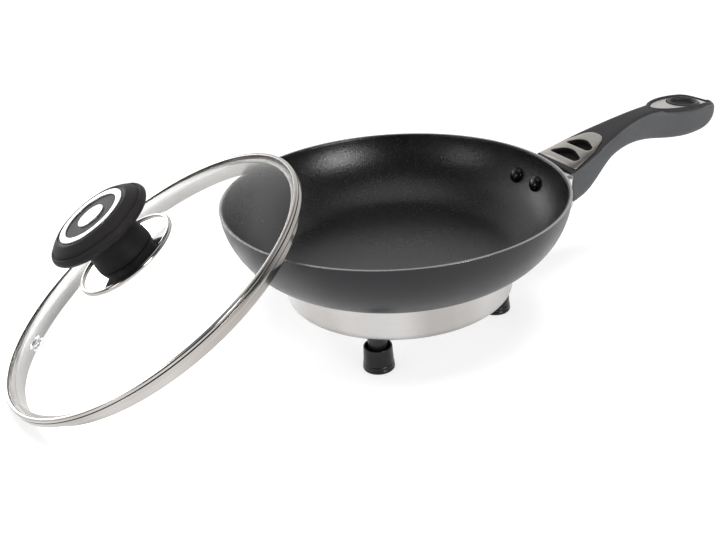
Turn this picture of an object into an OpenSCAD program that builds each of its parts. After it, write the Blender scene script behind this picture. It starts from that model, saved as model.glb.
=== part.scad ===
// Electric skillet: a round pan riveted to a long handle, a heater drum on three feet, and a loose glass lid.
// Origin at the centre of the cooking floor, +Z up, +X along the handle. Millimetres.

/* [Pan] */
// Outside radius at the rim
pan_r = 120; // [110:1:140]
// Outside depth from the rim to the underside
pan_depth = 50; // [46:1:58]
// Thickness of the side wall
pan_wall = 2.6; // [2:0.1:3.6]
// Thickness of the pan's floor
pan_floor_t = 4; // [3:0.5:6]
// Radius of the outside curve between underside and wall
pan_curve_r = 52.5; // [51:0.5:62]

/* [Rivets and bracket] */
// Diameter of the rivet heads inside the pan
rivet_head_d = 11.6; // [9:0.2:13]
// Height of the rivet heads
rivet_head_h = 3.2; // [2:0.2:4]
// Diameter of the rivet shanks
rivet_shank_d = 5; // [4:0.5:6]
// Distance between the two rivets
rivet_spacing = 23; // [18:0.5:26]
// Depth of the rivets below the rim
rivet_drop = 20; // [17:0.5:22]
// Azimuth of the rivet pair from the handle's axis
rivet_az = 1.6; // [0:0.2:3]
// Thickness of the bracket's saddle on the pan wall
saddle_t = 2; // [1.5:0.1:3]
// Height of the saddle above the rivets
saddle_rise = 5; // [4:0.5:6]
// Depth of the saddle below the rivets
saddle_drop = 15; // [12:0.5:16]
// Width of the bracket's tang
tang_w = 20; // [14:1:24]
// Thickness of the bracket's tang
tang_t = 4; // [3:0.5:5]
// Length of the tang inside the grip
tang_in = 22; // [18:1:26]
// Sheet thickness of the collar between pan and grip
collar_t = 1.4; // [1:0.1:2]
// How far the collar sits inside the grip's end outline
collar_set = 1.4; // [1:0.1:2]

/* [Handle] */
// Gap between the rim and the grip's end face
grip_gap = 11.4; // [8:0.2:14]
// Length of the grip
grip_len = 153; // [150:1:190]
// Width of the grip at the pan end
grip_end_w = 55; // [50:1:60]
// Width of the grip at its neck
grip_neck_w = 19; // [18:1:24]
// Width of the grip at its tail
grip_tail_w = 33; // [32:1:38]
// Height of the grip at the pan end
grip_end_h = 29.4; // [27:0.2:32]
// Height of the grip at its neck
grip_neck_h = 16.5; // [15:0.1:20]
// Height of the grip at its tail
grip_tail_h = 25.8; // [22:0.2:28]
// Height of the grip at its tip
grip_tip_h = 5; // [4:0.5:8]
// Depth of the grip's top edge below the rim at the pan end
grip_top_drop = 10; // [8:0.1:12]
// Rise of the grip's top along the trim plate
grip_ramp = 13.6; // [11:0.2:16]
// Further rise from the ramp to the crest
grip_crest = 10; // [6:0.2:14]
// Fall of the top from the crest to the tip
grip_droop = 3.4; // [2:0.2:6]
// Thickness of the two trim plates
trim_t = 1.2; // [0.8:0.1:2]
// How far the trim plates stand proud of the grip
trim_proud = 0.2; // [0.1:0.1:0.5]
// Width of the pan-end trim plate at its front edge
trim_w = 44; // [38:1:45]
// Length of the pan-end trim plate
trim_len = 38; // [35:1:40]
// Distance from the grip's end face to the trim plate
trim_setback = 5.2; // [4:0.2:8]
// Length of the ring plate at the tail
ring_len = 54; // [50:1:58]
// Width of the ring plate at the tail
ring_w = 28; // [26:0.5:29]
// Depth of the ring plate under the grip's top
ring_sink = 1.2; // [0.6:0.1:1.6]
// Outside diameter of the hang-hole bush
bush_d = 24.6; // [22:0.2:25]
// Bore of the hang-hole bush
hang_d = 16.4; // [12:0.2:18]

/* [Heater drum] */
// How far the drum's wall sits inside the rim
drum_set = 40.5; // [36:0.5:44]
// Height of the drum from its underside to the pan's underside
drum_h = 21.5; // [21:0.5:26]
// Sheet thickness of the drum
drum_t = 0.8; // [0.6:0.1:1]
// Outside radius of the drum's bottom edge
drum_edge_r = 4; // [2:0.5:4.5]
// Gap between the drum's wall and the heat spreader
spreader_set = 16.5; // [15:0.5:19]
// Thickness of the heat spreader
spreader_t = 7; // [6:0.5:7.5]
// Distance of the heating element's ring inside the spreader's edge
element_set = 11; // [9:0.5:13]
// Tube diameter of the heating element
element_d = 7; // [6:0.5:8]
// Diameter of the centre stud
stud_d = 6; // [5:0.5:8]
// Thickness of the insulation pad
pad_t = 3.6; // [2:0.2:4]

/* [Inlet] */
// Azimuth of the power inlet from the handle
inlet_az = 39; // [34:1:44]
// Width of the inlet shroud
inlet_w = 36; // [34:1:38]
// Height of the inlet shroud
inlet_h = 14; // [13:0.5:14]
// How far the shroud stands out of the drum
inlet_out = 18; // [14:1:24]
// Wall of the inlet shroud
inlet_wall = 2; // [1.6:0.1:2.2]
// Diameter of the contact pins
pin_d = 4; // [3:0.5:4.5]
// Distance between the contact pins
pin_spacing = 20; // [18:0.5:21]

/* [Feet] */
// Clear height under the drum
stand_h = 27; // [24:0.2:40]
// Distance of the feet's centres inside the drum's wall
foot_set = 10.7; // [10.6:0.1:13]
// Azimuth of the first foot from the handle
foot_az = -24; // [-30:1:-18]
// Angle between the two feet on the handle's right
foot_spread = 108; // [100:1:120]
// Diameter of the foot posts
post_d = 13; // [11:0.5:14]
// Outside diameter of the rubber boots
boot_d = 20; // [18:0.5:24]
// How far the boot's bottom lip stands out
boot_lip = 0.8; // [0.4:0.1:1.5]
// Height of the boots
boot_h = 17.6; // [13:0.2:20]
// Thickness of rubber under each post
boot_floor = 4; // [3:0.5:6]

/* [Lid] */
// How far the lid's band reaches past the rim
lid_over = 0.2; // [0:0.1:3]
// Gap between the lid's skirt and the pan's wall
skirt_gap = 3.8; // [3:0.1:6]
// Height of the band
band_h = 14; // [12:0.5:16]
// Sheet thickness of the band
band_t = 0.8; // [0.6:0.1:1]
// Thickness of the glass
glass_t = 4; // [3:0.5:5]
// Height of the glass dome above the band's top
dome_h = 22; // [16:0.5:28]
// Place up the skirt where it leans on the rim, from 0 at its sides to 1 at its top
lean_share = 0.7447; // [0.6:0.0001:0.9]
// Azimuth of the lean from the handle
lean_az = 168.3; // [160:0.1:175]
// Distance of the steam vent inside the band's edge
vent_set = 35.2; // [26:0.2:50]
// Outside diameter of the vent grommet
vent_d = 10.5; // [8:0.5:13]

/* [Knob] */
// Radius of the ferrule's brim
ferrule_r = 37; // [34:0.5:40]
// Height of the ferrule above its brim
ferrule_h = 7.3; // [6:0.1:9]
// Radius of the knob's waist
waist_r = 19.5; // [16:0.5:20]
// Height of the knob's stem
stem_h = 14.8; // [13:0.2:18]
// Radius of the knob's cap
cap_r = 37.6; // [34:0.2:40]
// Height of the knob's cap
cap_h = 12.9; // [12:0.1:16]
// Radius of the inlay on the cap
inlay_r = 26.6; // [22:0.2:27]
// Diameter of the lid screw
lid_screw_d = 5; // [4:0.5:6]

/* [Fits] */
// Gap between seated curved faces
seat_gap = 0.1; // [0.05:0.05:0.2]
// Clearance around fasteners and inserts
hole_gap = 0.2; // [0.1:0.05:0.3]
// Gap between the leaning lid and what it touches
lid_gap = 0.35; // [0.2:0.05:0.6]

/* [Hidden] */
$fn = 96;

// Heights, from the cooking floor at zero
z_under = -pan_floor_t;
z_rim = pan_depth - pan_floor_t;
z_drum = z_under - drum_h;
z_ground = z_drum - stand_h;
z_drum_floor = z_drum + drum_t;
z_element = z_under - spreader_t;

// Radii tied to the rim
drum_r = pan_r - drum_set;
spreader_r = drum_r - spreader_set;
element_r = spreader_r - element_set;
foot_ring_r = drum_r - foot_set;
lid_r = pan_r + lid_over;
skirt_r = pan_r - pan_wall - skirt_gap;
vent_r = lid_r - vent_set;

// Pan section: an arc that leaves the underside at its centre radius and meets the rim
pan_cz = z_under + pan_curve_r;
pan_cr = pan_r - sqrt(pan_curve_r * pan_curve_r - (z_rim - pan_cz) * (z_rim - pan_cz));
function pan_outside_z(r) = pan_cz - sqrt(pow(pan_curve_r, 2) - pow(max(0, r - pan_cr), 2));

// Rivets stand square to the pan's wall
rivet_z = z_rim - rivet_drop;
rivet_pitch = asin((pan_cz - rivet_z) / pan_curve_r);
rivet_plan_r = pan_cr + pan_curve_r * cos(rivet_pitch);
rivet_turn = asin(rivet_spacing / 2 / rivet_plan_r);
rivet_sag = rivet_head_d * rivet_head_d / 8 / (pan_curve_r - pan_wall) + seat_gap;
rivet_tail_d = 1.7 * rivet_shank_d;
rivet_tail_h = 2;

// Bracket: the tang leaves the saddle under the rivets
saddle_side = 10.5;
saddle_angle = 2 * asin((rivet_spacing / 2 + saddle_side) / rivet_plan_r);
tang_clear = 1.7;
tang_top = rivet_z - rivet_tail_d / 2 - tang_clear;
tang_x = pan_r + grip_gap + tang_in;

// Grip: position along the handle runs from 0 at the pan end to 1 at the tip
grip_x0 = pan_r + grip_gap;
grip_steps = 30;
grip_sides = 28;
ramp_share = 0.29;
crest_share = 0.62;
tip_share = 0.87;
last_share = 0.997;
neck_from_share = 0.085;
neck_share = 0.30;
tail_share = 0.735;
thin_share = 0.75;
flare_share = -0.04;
waist_share = 0.57;
widest_share = 0.80;
top_power = 5;
under_power = 3;
function smooth(a, b, u) = let (t = min(1, max(0, (u - a) / (b - a)))) t * t * (3 - 2 * t);
function grip_x(u) = grip_x0 + grip_len * u;
function climb(t) = grip_ramp * (1 - 3 * t * t + 2 * t * t * t)
    + grip_ramp / ramp_share * (crest_share - ramp_share) * (t - 2 * t * t + t * t * t)
    + (grip_ramp + grip_crest) * (3 * t * t - 2 * t * t * t);
function grip_rise(u) = u < ramp_share ? grip_ramp * u / ramp_share
    : u < crest_share ? climb((u - ramp_share) / (crest_share - ramp_share))
    : grip_ramp + grip_crest - grip_droop * pow(max(0, u - crest_share) / (1 - crest_share), 2);
function grip_top(u) = z_rim - grip_top_drop + grip_rise(u);
function grip_full_h(u) = grip_end_h + (grip_neck_h - grip_end_h) * smooth(neck_from_share, neck_share, u)
    + (grip_tail_h - grip_neck_h) * smooth(neck_share, tail_share, u);
function grip_thinning(u) = let (t = max(0, u - thin_share) / (1 - thin_share), least = grip_tip_h / grip_tail_h)
    least + (1 - least) * sqrt(max(0, 1 - t * t));
function grip_h(u) = grip_full_h(u) * grip_thinning(u);
function grip_half_w(u) = (grip_end_w + (grip_neck_w - grip_end_w) * smooth(flare_share, waist_share, u)
    + (grip_tail_w - grip_neck_w) * smooth(waist_share, widest_share, u)) / 2;
function tip(u) = u < tip_share ? 1 : sqrt(max(0, 1 - pow((u - tip_share) / (1 - tip_share), 2)));
function grip_crown(u) = grip_top(u) - grip_h(u) / 2 * (1 - tip(u));
function signed_power(v, p) = sign(v) * pow(abs(v), p);
function grip_station(i) = last_share * (1 - pow(1 - i / grip_steps, 1.3));
function grip_point(u, a) = let (
    power = sin(a) > 0 ? top_power : under_power,
    middle = grip_top(u) - grip_h(u) / 2)
    [grip_x(u), grip_half_w(u) * tip(u) * signed_power(cos(a), 2 / power),
        middle + grip_h(u) / 2 * tip(u) * signed_power(sin(a), 2 / power)];

// Handle screw, from below into the tang
handle_screw_x = grip_x0 + 0.7 * tang_in;
handle_screw_rise = 4;
handle_screw_d = 4.8;
handle_screw_head_d = 9;
handle_screw_head_h = 2.5;
handle_screw_z = tang_top - tang_t - handle_screw_rise;

// Trim plates lie in pockets that follow the grip's top
trim_sink = trim_t - trim_proud;
bulge_share = 0.47;
bulge_w_share = 0.40;
end_w_share = 0.284;
window_from = [5.4, 18.8];
window_bow = [9.5, 9];
window_w = [31, 25.6];
hang_share = 0.82;
hang_x = grip_x(hang_share);
hang_tilt = atan(2 * grip_droop * (hang_share - crest_share) / pow(1 - crest_share, 2) / grip_len);
hang_over = 0.6;
hang_recess = 3.5;
bush_len = grip_h(hang_share) + hang_over - hang_recess;
ring_back = 3.5;
ring_x = hang_x - ring_back;

// Drum: the wall stops just under the pan's curve
drum_in_r = drum_r - drum_t;
drum_top = pan_outside_z(drum_in_r) - seat_gap;
element_end = asin(pin_spacing / 2 / element_r);
element_end_x = element_r * cos(element_end);
element_bead = 0.8;
groove_half_w = element_d / 2 + element_bead;
cold_pin_d = 0.75 * pin_d;
clamp_t = 1.4;
clamp_in = 11;
clamp_out = 9;
clamp_in_r = element_r - clamp_in;
clamp_out_r = element_r + clamp_out;
clamp_top = z_element - (element_d + element_bead) / 2 - seat_gap;
clamp_screw_r = clamp_in_r + clamp_in / 4;
clamp_screw_d = 3;
clamp_screw_head_h = 2;
clamp_screw_in = 4;
clamp_hole_in = clamp_screw_in + 1;
pad_set = 3;
pad_r = spreader_r - pad_set;
pad_top = z_drum_floor + pad_t;
shield_t = 0.5;
spacer_d = stud_d + 4;
stud_in = 5;
stud_washer_t = 1.5;
stud_washer_d = 2.6 * stud_d;
stud_nut_h = 5;
stud_nut_d = stud_d * 1.85;
stud_below = stud_washer_t + stud_nut_h + 1;
switch_r = 8;
switch_h = 7.5;
switch_place = (spacer_d / 2 + clamp_in_r) / 2;
blade_len = 5;
blade_z = z_element - switch_h + 1;
blade_w = 4;
blade_t = 0.8;
blade_end = switch_r + blade_len - 2;
fuse_d = 4;
fuse_len = 16;
wire_d = 2;

// Inlet, in its own frame with X pointing out of the drum
block_w = inlet_w + 4;
block_gap = 1.4;
block_front = spreader_r + block_gap;
inlet_back = sqrt(pow(drum_r - drum_edge_r, 2) - block_w * block_w / 4) - 2 * hole_gap;
block_depth = inlet_back - block_front;
pin_in = 6;
pin_root_d = pin_d + 0.8;
pin_setback = 5;
pin_out = inlet_out - pin_setback;
shroud_floor = 4;
inlet_top = z_element + inlet_h / 2;
inlet_bottom = z_element - inlet_h / 2;
inlet_screw_d = 3;
inlet_screw_x = inlet_back - block_depth / 2;
inlet_screw_y = inlet_w / 2 - 2.5;
inlet_screw_in = 7;
inlet_screw_head_h = 2;
earth_t = 0.8;
earth_len = 0.7 * inlet_out;

// Feet
foot_angles = [foot_az, foot_az - foot_spread / 2 + 180, foot_az - foot_spread];
boot_cup = 6;
boot_wall = 1.3;
foot_screw_d = 4;
foot_screw_len = 12;
foot_screw_head_d = 7;
foot_screw_head_h = 2.5;

// Lid, in its own frame with Z along the knob and zero at the band's top
flange_w = 2;
seal_t = 0.7;
rim_top = -band_t - seat_gap;
rim_under = rim_top - glass_t;
rim_w = 4.5;
dome_r = lid_r - rim_w;
band_edge = 1.2;
glass_r = lid_r - band_edge - seat_gap;
dome_rise = dome_h - rim_top;
dome_sphere = (dome_r * dome_r + dome_rise * dome_rise) / 2 / dome_rise;
dome_cz = dome_h - dome_sphere;
function dome_top(r) = dome_cz + sqrt(dome_sphere * dome_sphere - r * r);
vent_tilt = asin(vent_r / dome_sphere);
vent_bore_d = vent_d - 5;
vent_tube_d = vent_d - 2.5;
vent_flange_t = 0.8;

// The lid leans with its skirt on the ground and on the rim, its axis in the plane of the lean
lid_tilt = asin((z_rim - z_ground) / (skirt_r * (1 + lean_share)));
lean_cz = z_ground + lid_gap + band_h * cos(lid_tilt) + skirt_r * sin(lid_tilt);
lean_side = skirt_r * sqrt(1 - lean_share * lean_share);
lean_reach = band_h * sin(lid_tilt) + skirt_r * lean_share * cos(lid_tilt)
    + sqrt(pow(pan_r + lid_gap, 2) - lean_side * lean_side);

// Knob and ferrule heights in the lid's frame
ferrule_z = dome_top(ferrule_r) + seat_gap;
brim_h = 1.5;
ferrule_top = ferrule_z + brim_h + ferrule_h;
ferrule_curve_r = 12.5;
ferrule_curve_x = ferrule_r - 4;
ferrule_boss_r = lid_screw_d / 2 + 4;
stem_z = ferrule_top + seat_gap;
stem_curve_r = 14;
stem_flare = 11;
cap_z = stem_z + stem_h;
cap_top = cap_z + cap_h;
cap_edge = 2.4;
cap_round = 1;
cap_under = 6;
groove_r = 0.7;
groove_share = 0.3;
inlay_t = 0.8;
inlay_ring_w = 6.5;
inlay_disc_r = 10;
insert_r = lid_screw_d / 2 + 2.8;
insert_z = stem_z + 2;
insert_len = 11;
washer_r = 11;
washer_t = 1.5;
washer_top = dome_cz + sqrt(pow(dome_sphere - glass_t, 2) - washer_r * washer_r) - seat_gap;
lid_screw_head_r = 5.5;
lid_screw_head_h = 3.5;
lid_screw_top = insert_z + insert_len - 1;

// Placing helpers

module at_rivets() {
    for (side = [-1, 1])
        rotate([0, 0, rivet_az + side * rivet_turn])
            translate([pan_cr, 0, pan_cz])
                rotate([0, rivet_pitch, 0])
                    translate([pan_curve_r, 0, 0])
                        rotate([0, 90, 0])
                            children();
}

module at_inlet() {
    rotate([0, 0, inlet_az]) children();
}

module at_foot(i) {
    rotate([0, 0, foot_angles[i]]) translate([foot_ring_r, 0, 0]) children();
}

module at_hang() {
    translate([hang_x, 0, grip_top(hang_share)]) rotate([0, hang_tilt, 0]) children();
}

module at_lid() {
    rotate([0, 0, lean_az])
        translate([lean_reach, 0, lean_cz])
            rotate([0, lid_tilt, 0])
                children();
}

module at_vent() {
    translate([0, 0, dome_cz]) rotate([0, vent_tilt, 0]) translate([0, 0, dome_sphere]) children();
}

// A rod from one height to another
module rod(d, low, high) {
    translate([0, 0, low]) cylinder(d = d, h = high - low);
}

// A rod along X from one place to another
module rod_x(d, start, end) {
    translate([start, 0, 0]) rotate([0, 90, 0]) cylinder(d = d, h = end - start);
}

// A flat ring from one height to another
module ring(inner_r, outer_r, low, high) {
    difference() {
        rod(2 * outer_r, low, high);
        rod(2 * inner_r, low - 1, high + 1);
    }
}

// Pan

// Region inside the pan's outside wall, grown by a gap, up to a height
module pan_section(grow, top) {
    intersection() {
        translate([0, z_under - grow]) square([2 * pan_r, top - z_under + grow]);
        union() {
            translate([pan_cr, pan_cz]) circle(pan_curve_r + grow, $fn = 192);
            translate([0, z_under - grow]) square([pan_cr, top - z_under + grow]);
        }
    }
}

module pan_hollow_section() {
    intersection() {
        square([2 * pan_r, pan_depth]);
        union() {
            translate([pan_cr, pan_cz]) circle(pan_curve_r - pan_wall, $fn = 192);
            square([pan_cr, pan_depth]);
        }
    }
}

module pan_body() {
    color([0.22, 0.22, 0.23])
    difference() {
        rotate_extrude($fn = 144) difference() {
            pan_section(0, z_rim);
            pan_hollow_section();
        }
        at_rivets() rod(rivet_shank_d + hole_gap, -2 * pan_wall, pan_wall);
    }
}

module rivet_head() {
    dome = (rivet_head_d * rivet_head_d / 4 + rivet_head_h * rivet_head_h) / 2 / rivet_head_h;
    intersection() {
        translate([0, 0, dome - rivet_head_h]) sphere(dome);
        rod(rivet_head_d, -rivet_head_h, 0);
    }
}

module handle_rivets() {
    color([0.1, 0.1, 0.1])
    at_rivets() {
        translate([0, 0, -pan_wall - rivet_sag]) rivet_head();
        rod(rivet_shank_d, -pan_wall - rivet_sag, 2 * seat_gap + saddle_t);
        rod(rivet_tail_d, 2 * seat_gap + saddle_t, 2 * seat_gap + saddle_t + rivet_tail_h);
    }
}

// Handle

module saddle_section() {
    intersection() {
        difference() {
            translate([pan_cr, pan_cz]) circle(pan_curve_r + seat_gap + saddle_t, $fn = 192);
            translate([pan_cr, pan_cz]) circle(pan_curve_r + seat_gap, $fn = 192);
        }
        translate([pan_cr, rivet_z - saddle_drop]) square([pan_curve_r * 2, saddle_drop + saddle_rise]);
    }
}

module tang(gap) {
    translate([0, -tang_w / 2 - gap, tang_top - tang_t - gap])
        cube([tang_x + gap, tang_w + 2 * gap, tang_t + 2 * gap]);
}

module handle_bracket() {
    color("silver")
    difference() {
        union() {
            rotate([0, 0, -saddle_angle / 2])
                rotate_extrude(angle = saddle_angle, $fn = 192) saddle_section();
            difference() {
                tang(0);
                rotate_extrude($fn = 192) pan_section(seat_gap + saddle_t / 2, z_rim);
            }
        }
        at_rivets() rod(rivet_shank_d + hole_gap, -pan_wall, 2 * saddle_t + pan_wall);
        translate([handle_screw_x, 0, 0])
            rod(handle_screw_d + hole_gap, tang_top - 2 * tang_t, tang_top + tang_t);
    }
}

// Sheet sleeve that closes the gap between the pan's wall and the grip's end
module handle_collar() {
    start = pan_cr + pan_curve_r / 2;
    width = grip_end_w - 2 * collar_set;
    low = grip_top(0) - grip_end_h + collar_set;
    high = grip_top(0) - collar_set;
    color("silver")
    difference() {
        translate([start, -width / 2, low]) cube([grip_x0 - start, width, high - low]);
        translate([start - 1, collar_t - width / 2, low + collar_t])
            cube([grip_len, width - 2 * collar_t, high - low - 2 * collar_t]);
        rotate_extrude($fn = 192) pan_section(seat_gap, z_rim);
    }
}

// The grip's skin: rounded sections carried along the handle, joined by triangles
module grip_skin() {
    points = [for (i = [0:grip_steps]) for (j = [0:grip_sides - 1])
        grip_point(grip_station(i), (j + 0.5) * 360 / grip_sides)];
    last = grip_steps * grip_sides;
    faces = concat(
        [[for (j = [0:grip_sides - 1]) j]],
        [[for (j = [grip_sides - 1:-1:0]) last + j]],
        [for (i = [0:grip_steps - 1]) for (j = [0:grip_sides - 1]) for (half = [0, 1])
            let (a = i * grip_sides + j, b = i * grip_sides + (j + 1) % grip_sides)
            half == 0 ? [a, a + grip_sides, b] : [b, a + grip_sides, b + grip_sides]]);
    polyhedron(points, faces);
}

// A band that follows the grip's top from one offset to another
module grip_top_band(low, high) {
    stations = [for (i = [0:2 * grip_steps]) i / 2 / grip_steps];
    rotate([90, 0, 0])
        linear_extrude(height = 2 * grip_end_w, center = true)
            polygon(concat(
                [for (u = stations) [grip_x(u), grip_crown(u) + high]],
                [for (i = [2 * grip_steps:-1:0]) [grip_x(stations[i]), grip_crown(stations[i]) + low]]));
}

module trim_outline(grow) {
    corner = 1.5;
    bulge_r = 12;
    end_r = 11;
    translate([grip_x0 + trim_setback, 0])
        hull() {
            for (side = [-1, 1]) {
                translate([corner, side * (trim_w / 2 - corner)]) circle(corner + grow, $fn = 16);
                translate([trim_len * bulge_share, side * (trim_w * bulge_w_share - bulge_r)])
                    circle(bulge_r + grow, $fn = 32);
                translate([trim_len - end_r, side * (trim_w * end_w_share - end_r)])
                    circle(end_r + grow, $fn = 32);
            }
        }
}

// A half moon, straight towards the pan and bowed towards the tail, with a blunt and a narrow tip
module trim_window(k) {
    window_tip_r = [3, 1.2];
    reach = window_w[k] / 2 - window_tip_r[1];
    bow_r = (pow(window_w[k] / 2, 2) + pow(window_bow[k], 2)) / 2 / window_bow[k];
    translate([grip_x0 + trim_setback + window_from[k], 0])
        hull() {
            for (i = [0, 1])
                translate([window_tip_r[i], (2 * i - 1) * (window_w[k] / 2 - window_tip_r[i])])
                    circle(window_tip_r[i], $fn = 16);
            polygon([for (t = [-0.96:0.08:0.96])
                [sqrt(bow_r * bow_r - pow(t * reach, 2)) - bow_r + window_bow[k], t * reach]]);
        }
}

module ring_outline(grow) {
    translate([ring_x, 0])
        polygon([for (a = [0:7.5:352.5]) [(ring_len / 2 + grow) * cos(a), (ring_w / 2 + grow) * sin(a)]]);
}

module tall(bottom) {
    translate([0, 0, bottom]) linear_extrude(height = 2 * pan_depth) children();
}

module handle_grip() {
    color([0.2, 0.2, 0.21])
    difference() {
        grip_skin();
        tang(hole_gap);
        intersection() {
            tall(z_under) trim_outline(hole_gap);
            grip_top_band(-trim_sink, 3 * trim_t);
        }
        intersection() {
            tall(z_under) ring_outline(hole_gap);
            grip_top_band(-ring_sink - trim_t, 3 * trim_t);
        }
        at_hang() rod(bush_d + 2 * hole_gap, -2 * grip_tail_h, grip_tail_h);
        translate([handle_screw_x, 0, 0]) {
            rod(handle_screw_d + 2 * hole_gap, handle_screw_z, tang_top - tang_t);
            rod(handle_screw_head_d + 2 * hole_gap, z_ground, handle_screw_z + handle_screw_head_h);
        }
    }
}

module handle_screw() {
    color("silver")
    translate([handle_screw_x, 0, 0]) {
        rod(handle_screw_head_d, handle_screw_z, handle_screw_z + handle_screw_head_h);
        rod(handle_screw_d, handle_screw_z, tang_top);
    }
}

module trim_plate() {
    color([0.72, 0.71, 0.69])
    intersection() {
        tall(z_under) difference() {
            trim_outline(0);
            for (k = [0, 1]) trim_window(k);
        }
        grip_top_band(-trim_sink, trim_proud);
    }
}

module ring_plate() {
    color([0.72, 0.71, 0.69])
    difference() {
        intersection() {
            tall(z_under) ring_outline(0);
            grip_top_band(-ring_sink - trim_t, -ring_sink);
        }
        at_hang() rod(bush_d + 2 * hole_gap, -grip_tail_h, grip_tail_h);
    }
}

module hang_bush() {
    color([0.13, 0.13, 0.13])
    at_hang() ring(hang_d / 2, bush_d / 2, hang_over - bush_len, hang_over);
}

// Heater drum

module drum_section() {
    translate([0, z_drum]) square([drum_r - drum_edge_r, drum_t]);
    translate([drum_in_r, z_drum + drum_edge_r]) square([drum_t, drum_top - z_drum - drum_edge_r]);
    translate([drum_r - drum_edge_r, z_drum + drum_edge_r])
        intersection() {
            difference() {
                circle(drum_edge_r, $fn = 64);
                circle(drum_edge_r - drum_t, $fn = 64);
            }
            translate([0, -drum_edge_r]) square(drum_edge_r);
        }
}

module heater_drum() {
    color([0.78, 0.77, 0.75])
    difference() {
        rotate_extrude($fn = 144) drum_section();
        rod(stud_d + 2 * hole_gap, z_drum - 1, z_drum_floor + 1);
        for (i = [0:2]) at_foot(i) rod(foot_screw_d + 2 * hole_gap, z_drum - 1, z_drum_floor + 1);
        at_inlet() {
            translate([block_front, -inlet_w / 2 - hole_gap, inlet_bottom - hole_gap])
                cube([drum_r, inlet_w + 2 * hole_gap, drum_h]);
            at_inlet_screws() rod(inlet_screw_d + 2 * hole_gap, z_drum - 1, z_drum_floor + 1);
        }
    }
}

module at_pins() {
    for (side = [-1, 1]) translate([0, side * pin_spacing / 2, z_element]) children();
}

// A ring groove under the disc and two open slots for the element's ends
module heat_spreader() {
    groove_top = z_element + element_d / 2 + element_bead;
    color([0.75, 0.75, 0.76])
    difference() {
        rod(2 * spreader_r, z_element, z_under);
        ring(element_r - groove_half_w, element_r + groove_half_w, z_element - 1, groove_top);
        at_inlet()
            for (side = [-1, 1])
                translate([element_end_x, side * pin_spacing / 2 - groove_half_w, z_element - 1])
                    cube([spreader_r, 2 * groove_half_w, groove_top - z_element + 1]);
        rod(stud_d + 2 * hole_gap, z_element - 1, z_element + stud_in + hole_gap);
        at_clamp_screws() rod(clamp_screw_d + 2 * hole_gap, z_element - 1, z_element + clamp_hole_in);
    }
}

// A ring of tube left open at the inlet, with a terminal bead and a cold pin at each end
module heating_element() {
    color([0.35, 0.33, 0.31])
    union() {
        rotate([0, 0, inlet_az + element_end])
            rotate_extrude(angle = 360 - 2 * element_end, $fn = 144)
                translate([element_r, z_element]) circle(d = element_d, $fn = 48);
        at_inlet() at_pins() {
            translate([element_end_x, 0, 0]) sphere(d = element_d + element_bead, $fn = 48);
            rod_x(cold_pin_d, element_end_x, inlet_back - pin_in);
        }
    }
}

module at_clamp_screws() {
    for (i = [0:2])
        rotate([0, 0, inlet_az + 60 + i * 120]) translate([clamp_screw_r, 0, 0]) children();
}

module element_clamp() {
    color([0.7, 0.7, 0.7])
    difference() {
        ring(clamp_in_r, clamp_out_r, clamp_top - clamp_t, clamp_top);
        at_clamp_screws() rod(clamp_screw_d + 2 * hole_gap, clamp_top - 2 * clamp_t, clamp_top + clamp_t);
    }
}

module clamp_screws() {
    color("silver")
    at_clamp_screws() {
        rod(clamp_screw_d, clamp_top - clamp_t, z_element + clamp_screw_in);
        rod(2 * clamp_screw_d, clamp_top - clamp_t - clamp_screw_head_h, clamp_top - clamp_t);
    }
}

// Bimetal switch pressed against the spreader, with a blade on each side
module thermostat() {
    color([0.25, 0.2, 0.16])
    at_inlet() translate([switch_place, 0, 0]) {
        rod(2 * switch_r, z_element - switch_h, z_element);
        for (side = [-1, 1])
            translate([-blade_w / 2, side * (switch_r + blade_len / 2 - 0.5) - blade_len / 2 - 0.5, blade_z])
                cube([blade_w, blade_len + 1, blade_t]);
    }
}

module thermal_fuse() {
    color([0.85, 0.85, 0.8])
    at_inlet() translate([-switch_place, -fuse_len / 2, z_element - fuse_d / 2 - seat_gap])
        rotate([-90, 0, 0]) cylinder(d = fuse_d, h = fuse_len);
}

// One wire joins switch and fuse, the other joins the switch to the inlet
module link_wires() {
    wire_z = blade_z - wire_d / 2;
    blade_r = sqrt(switch_place * switch_place + pow(blade_end, 2));
    blade_angle = atan2(blade_end, switch_place);
    fuse_angle = 180 - atan2(fuse_len / 2 - 2, switch_place);
    color([0.75, 0.25, 0.2])
    at_inlet() {
        rotate([0, 0, blade_angle])
            rotate_extrude(angle = fuse_angle - blade_angle, $fn = 96)
                translate([blade_r, wire_z]) circle(d = wire_d, $fn = 24);
        translate([0, -blade_end, wire_z])
            rod_x(wire_d, switch_place, block_front);
    }
}

module insulation_pad() {
    color([0.9, 0.88, 0.82])
    ring(spacer_d / 2 + hole_gap, pad_r, z_drum_floor, pad_top);
}

module heat_shield() {
    color([0.8, 0.8, 0.82])
    ring(spacer_d / 2 + hole_gap, pad_r, pad_top, pad_top + shield_t);
}

module centre_stud() {
    color("silver")
    rod(stud_d, z_drum - stud_below, z_element + stud_in);
}

module stud_spacer() {
    color([0.7, 0.7, 0.7])
    ring(stud_d / 2 + hole_gap, spacer_d / 2, z_drum_floor, z_element);
}

module stud_washer() {
    color([0.75, 0.75, 0.75])
    ring(stud_d / 2 + hole_gap, stud_washer_d / 2, z_drum - stud_washer_t, z_drum);
}

module stud_nut() {
    nut_top = z_drum - stud_washer_t;
    color([0.7, 0.7, 0.72])
    difference() {
        translate([0, 0, nut_top - stud_nut_h]) cylinder(d = stud_nut_d, h = stud_nut_h, $fn = 6);
        rod(stud_d + hole_gap, nut_top - 2 * stud_nut_h, nut_top + 1);
    }
}

// Power inlet

module at_inlet_screws() {
    for (side = [-1, 1]) translate([inlet_screw_x, side * inlet_screw_y, 0]) children();
}

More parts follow.
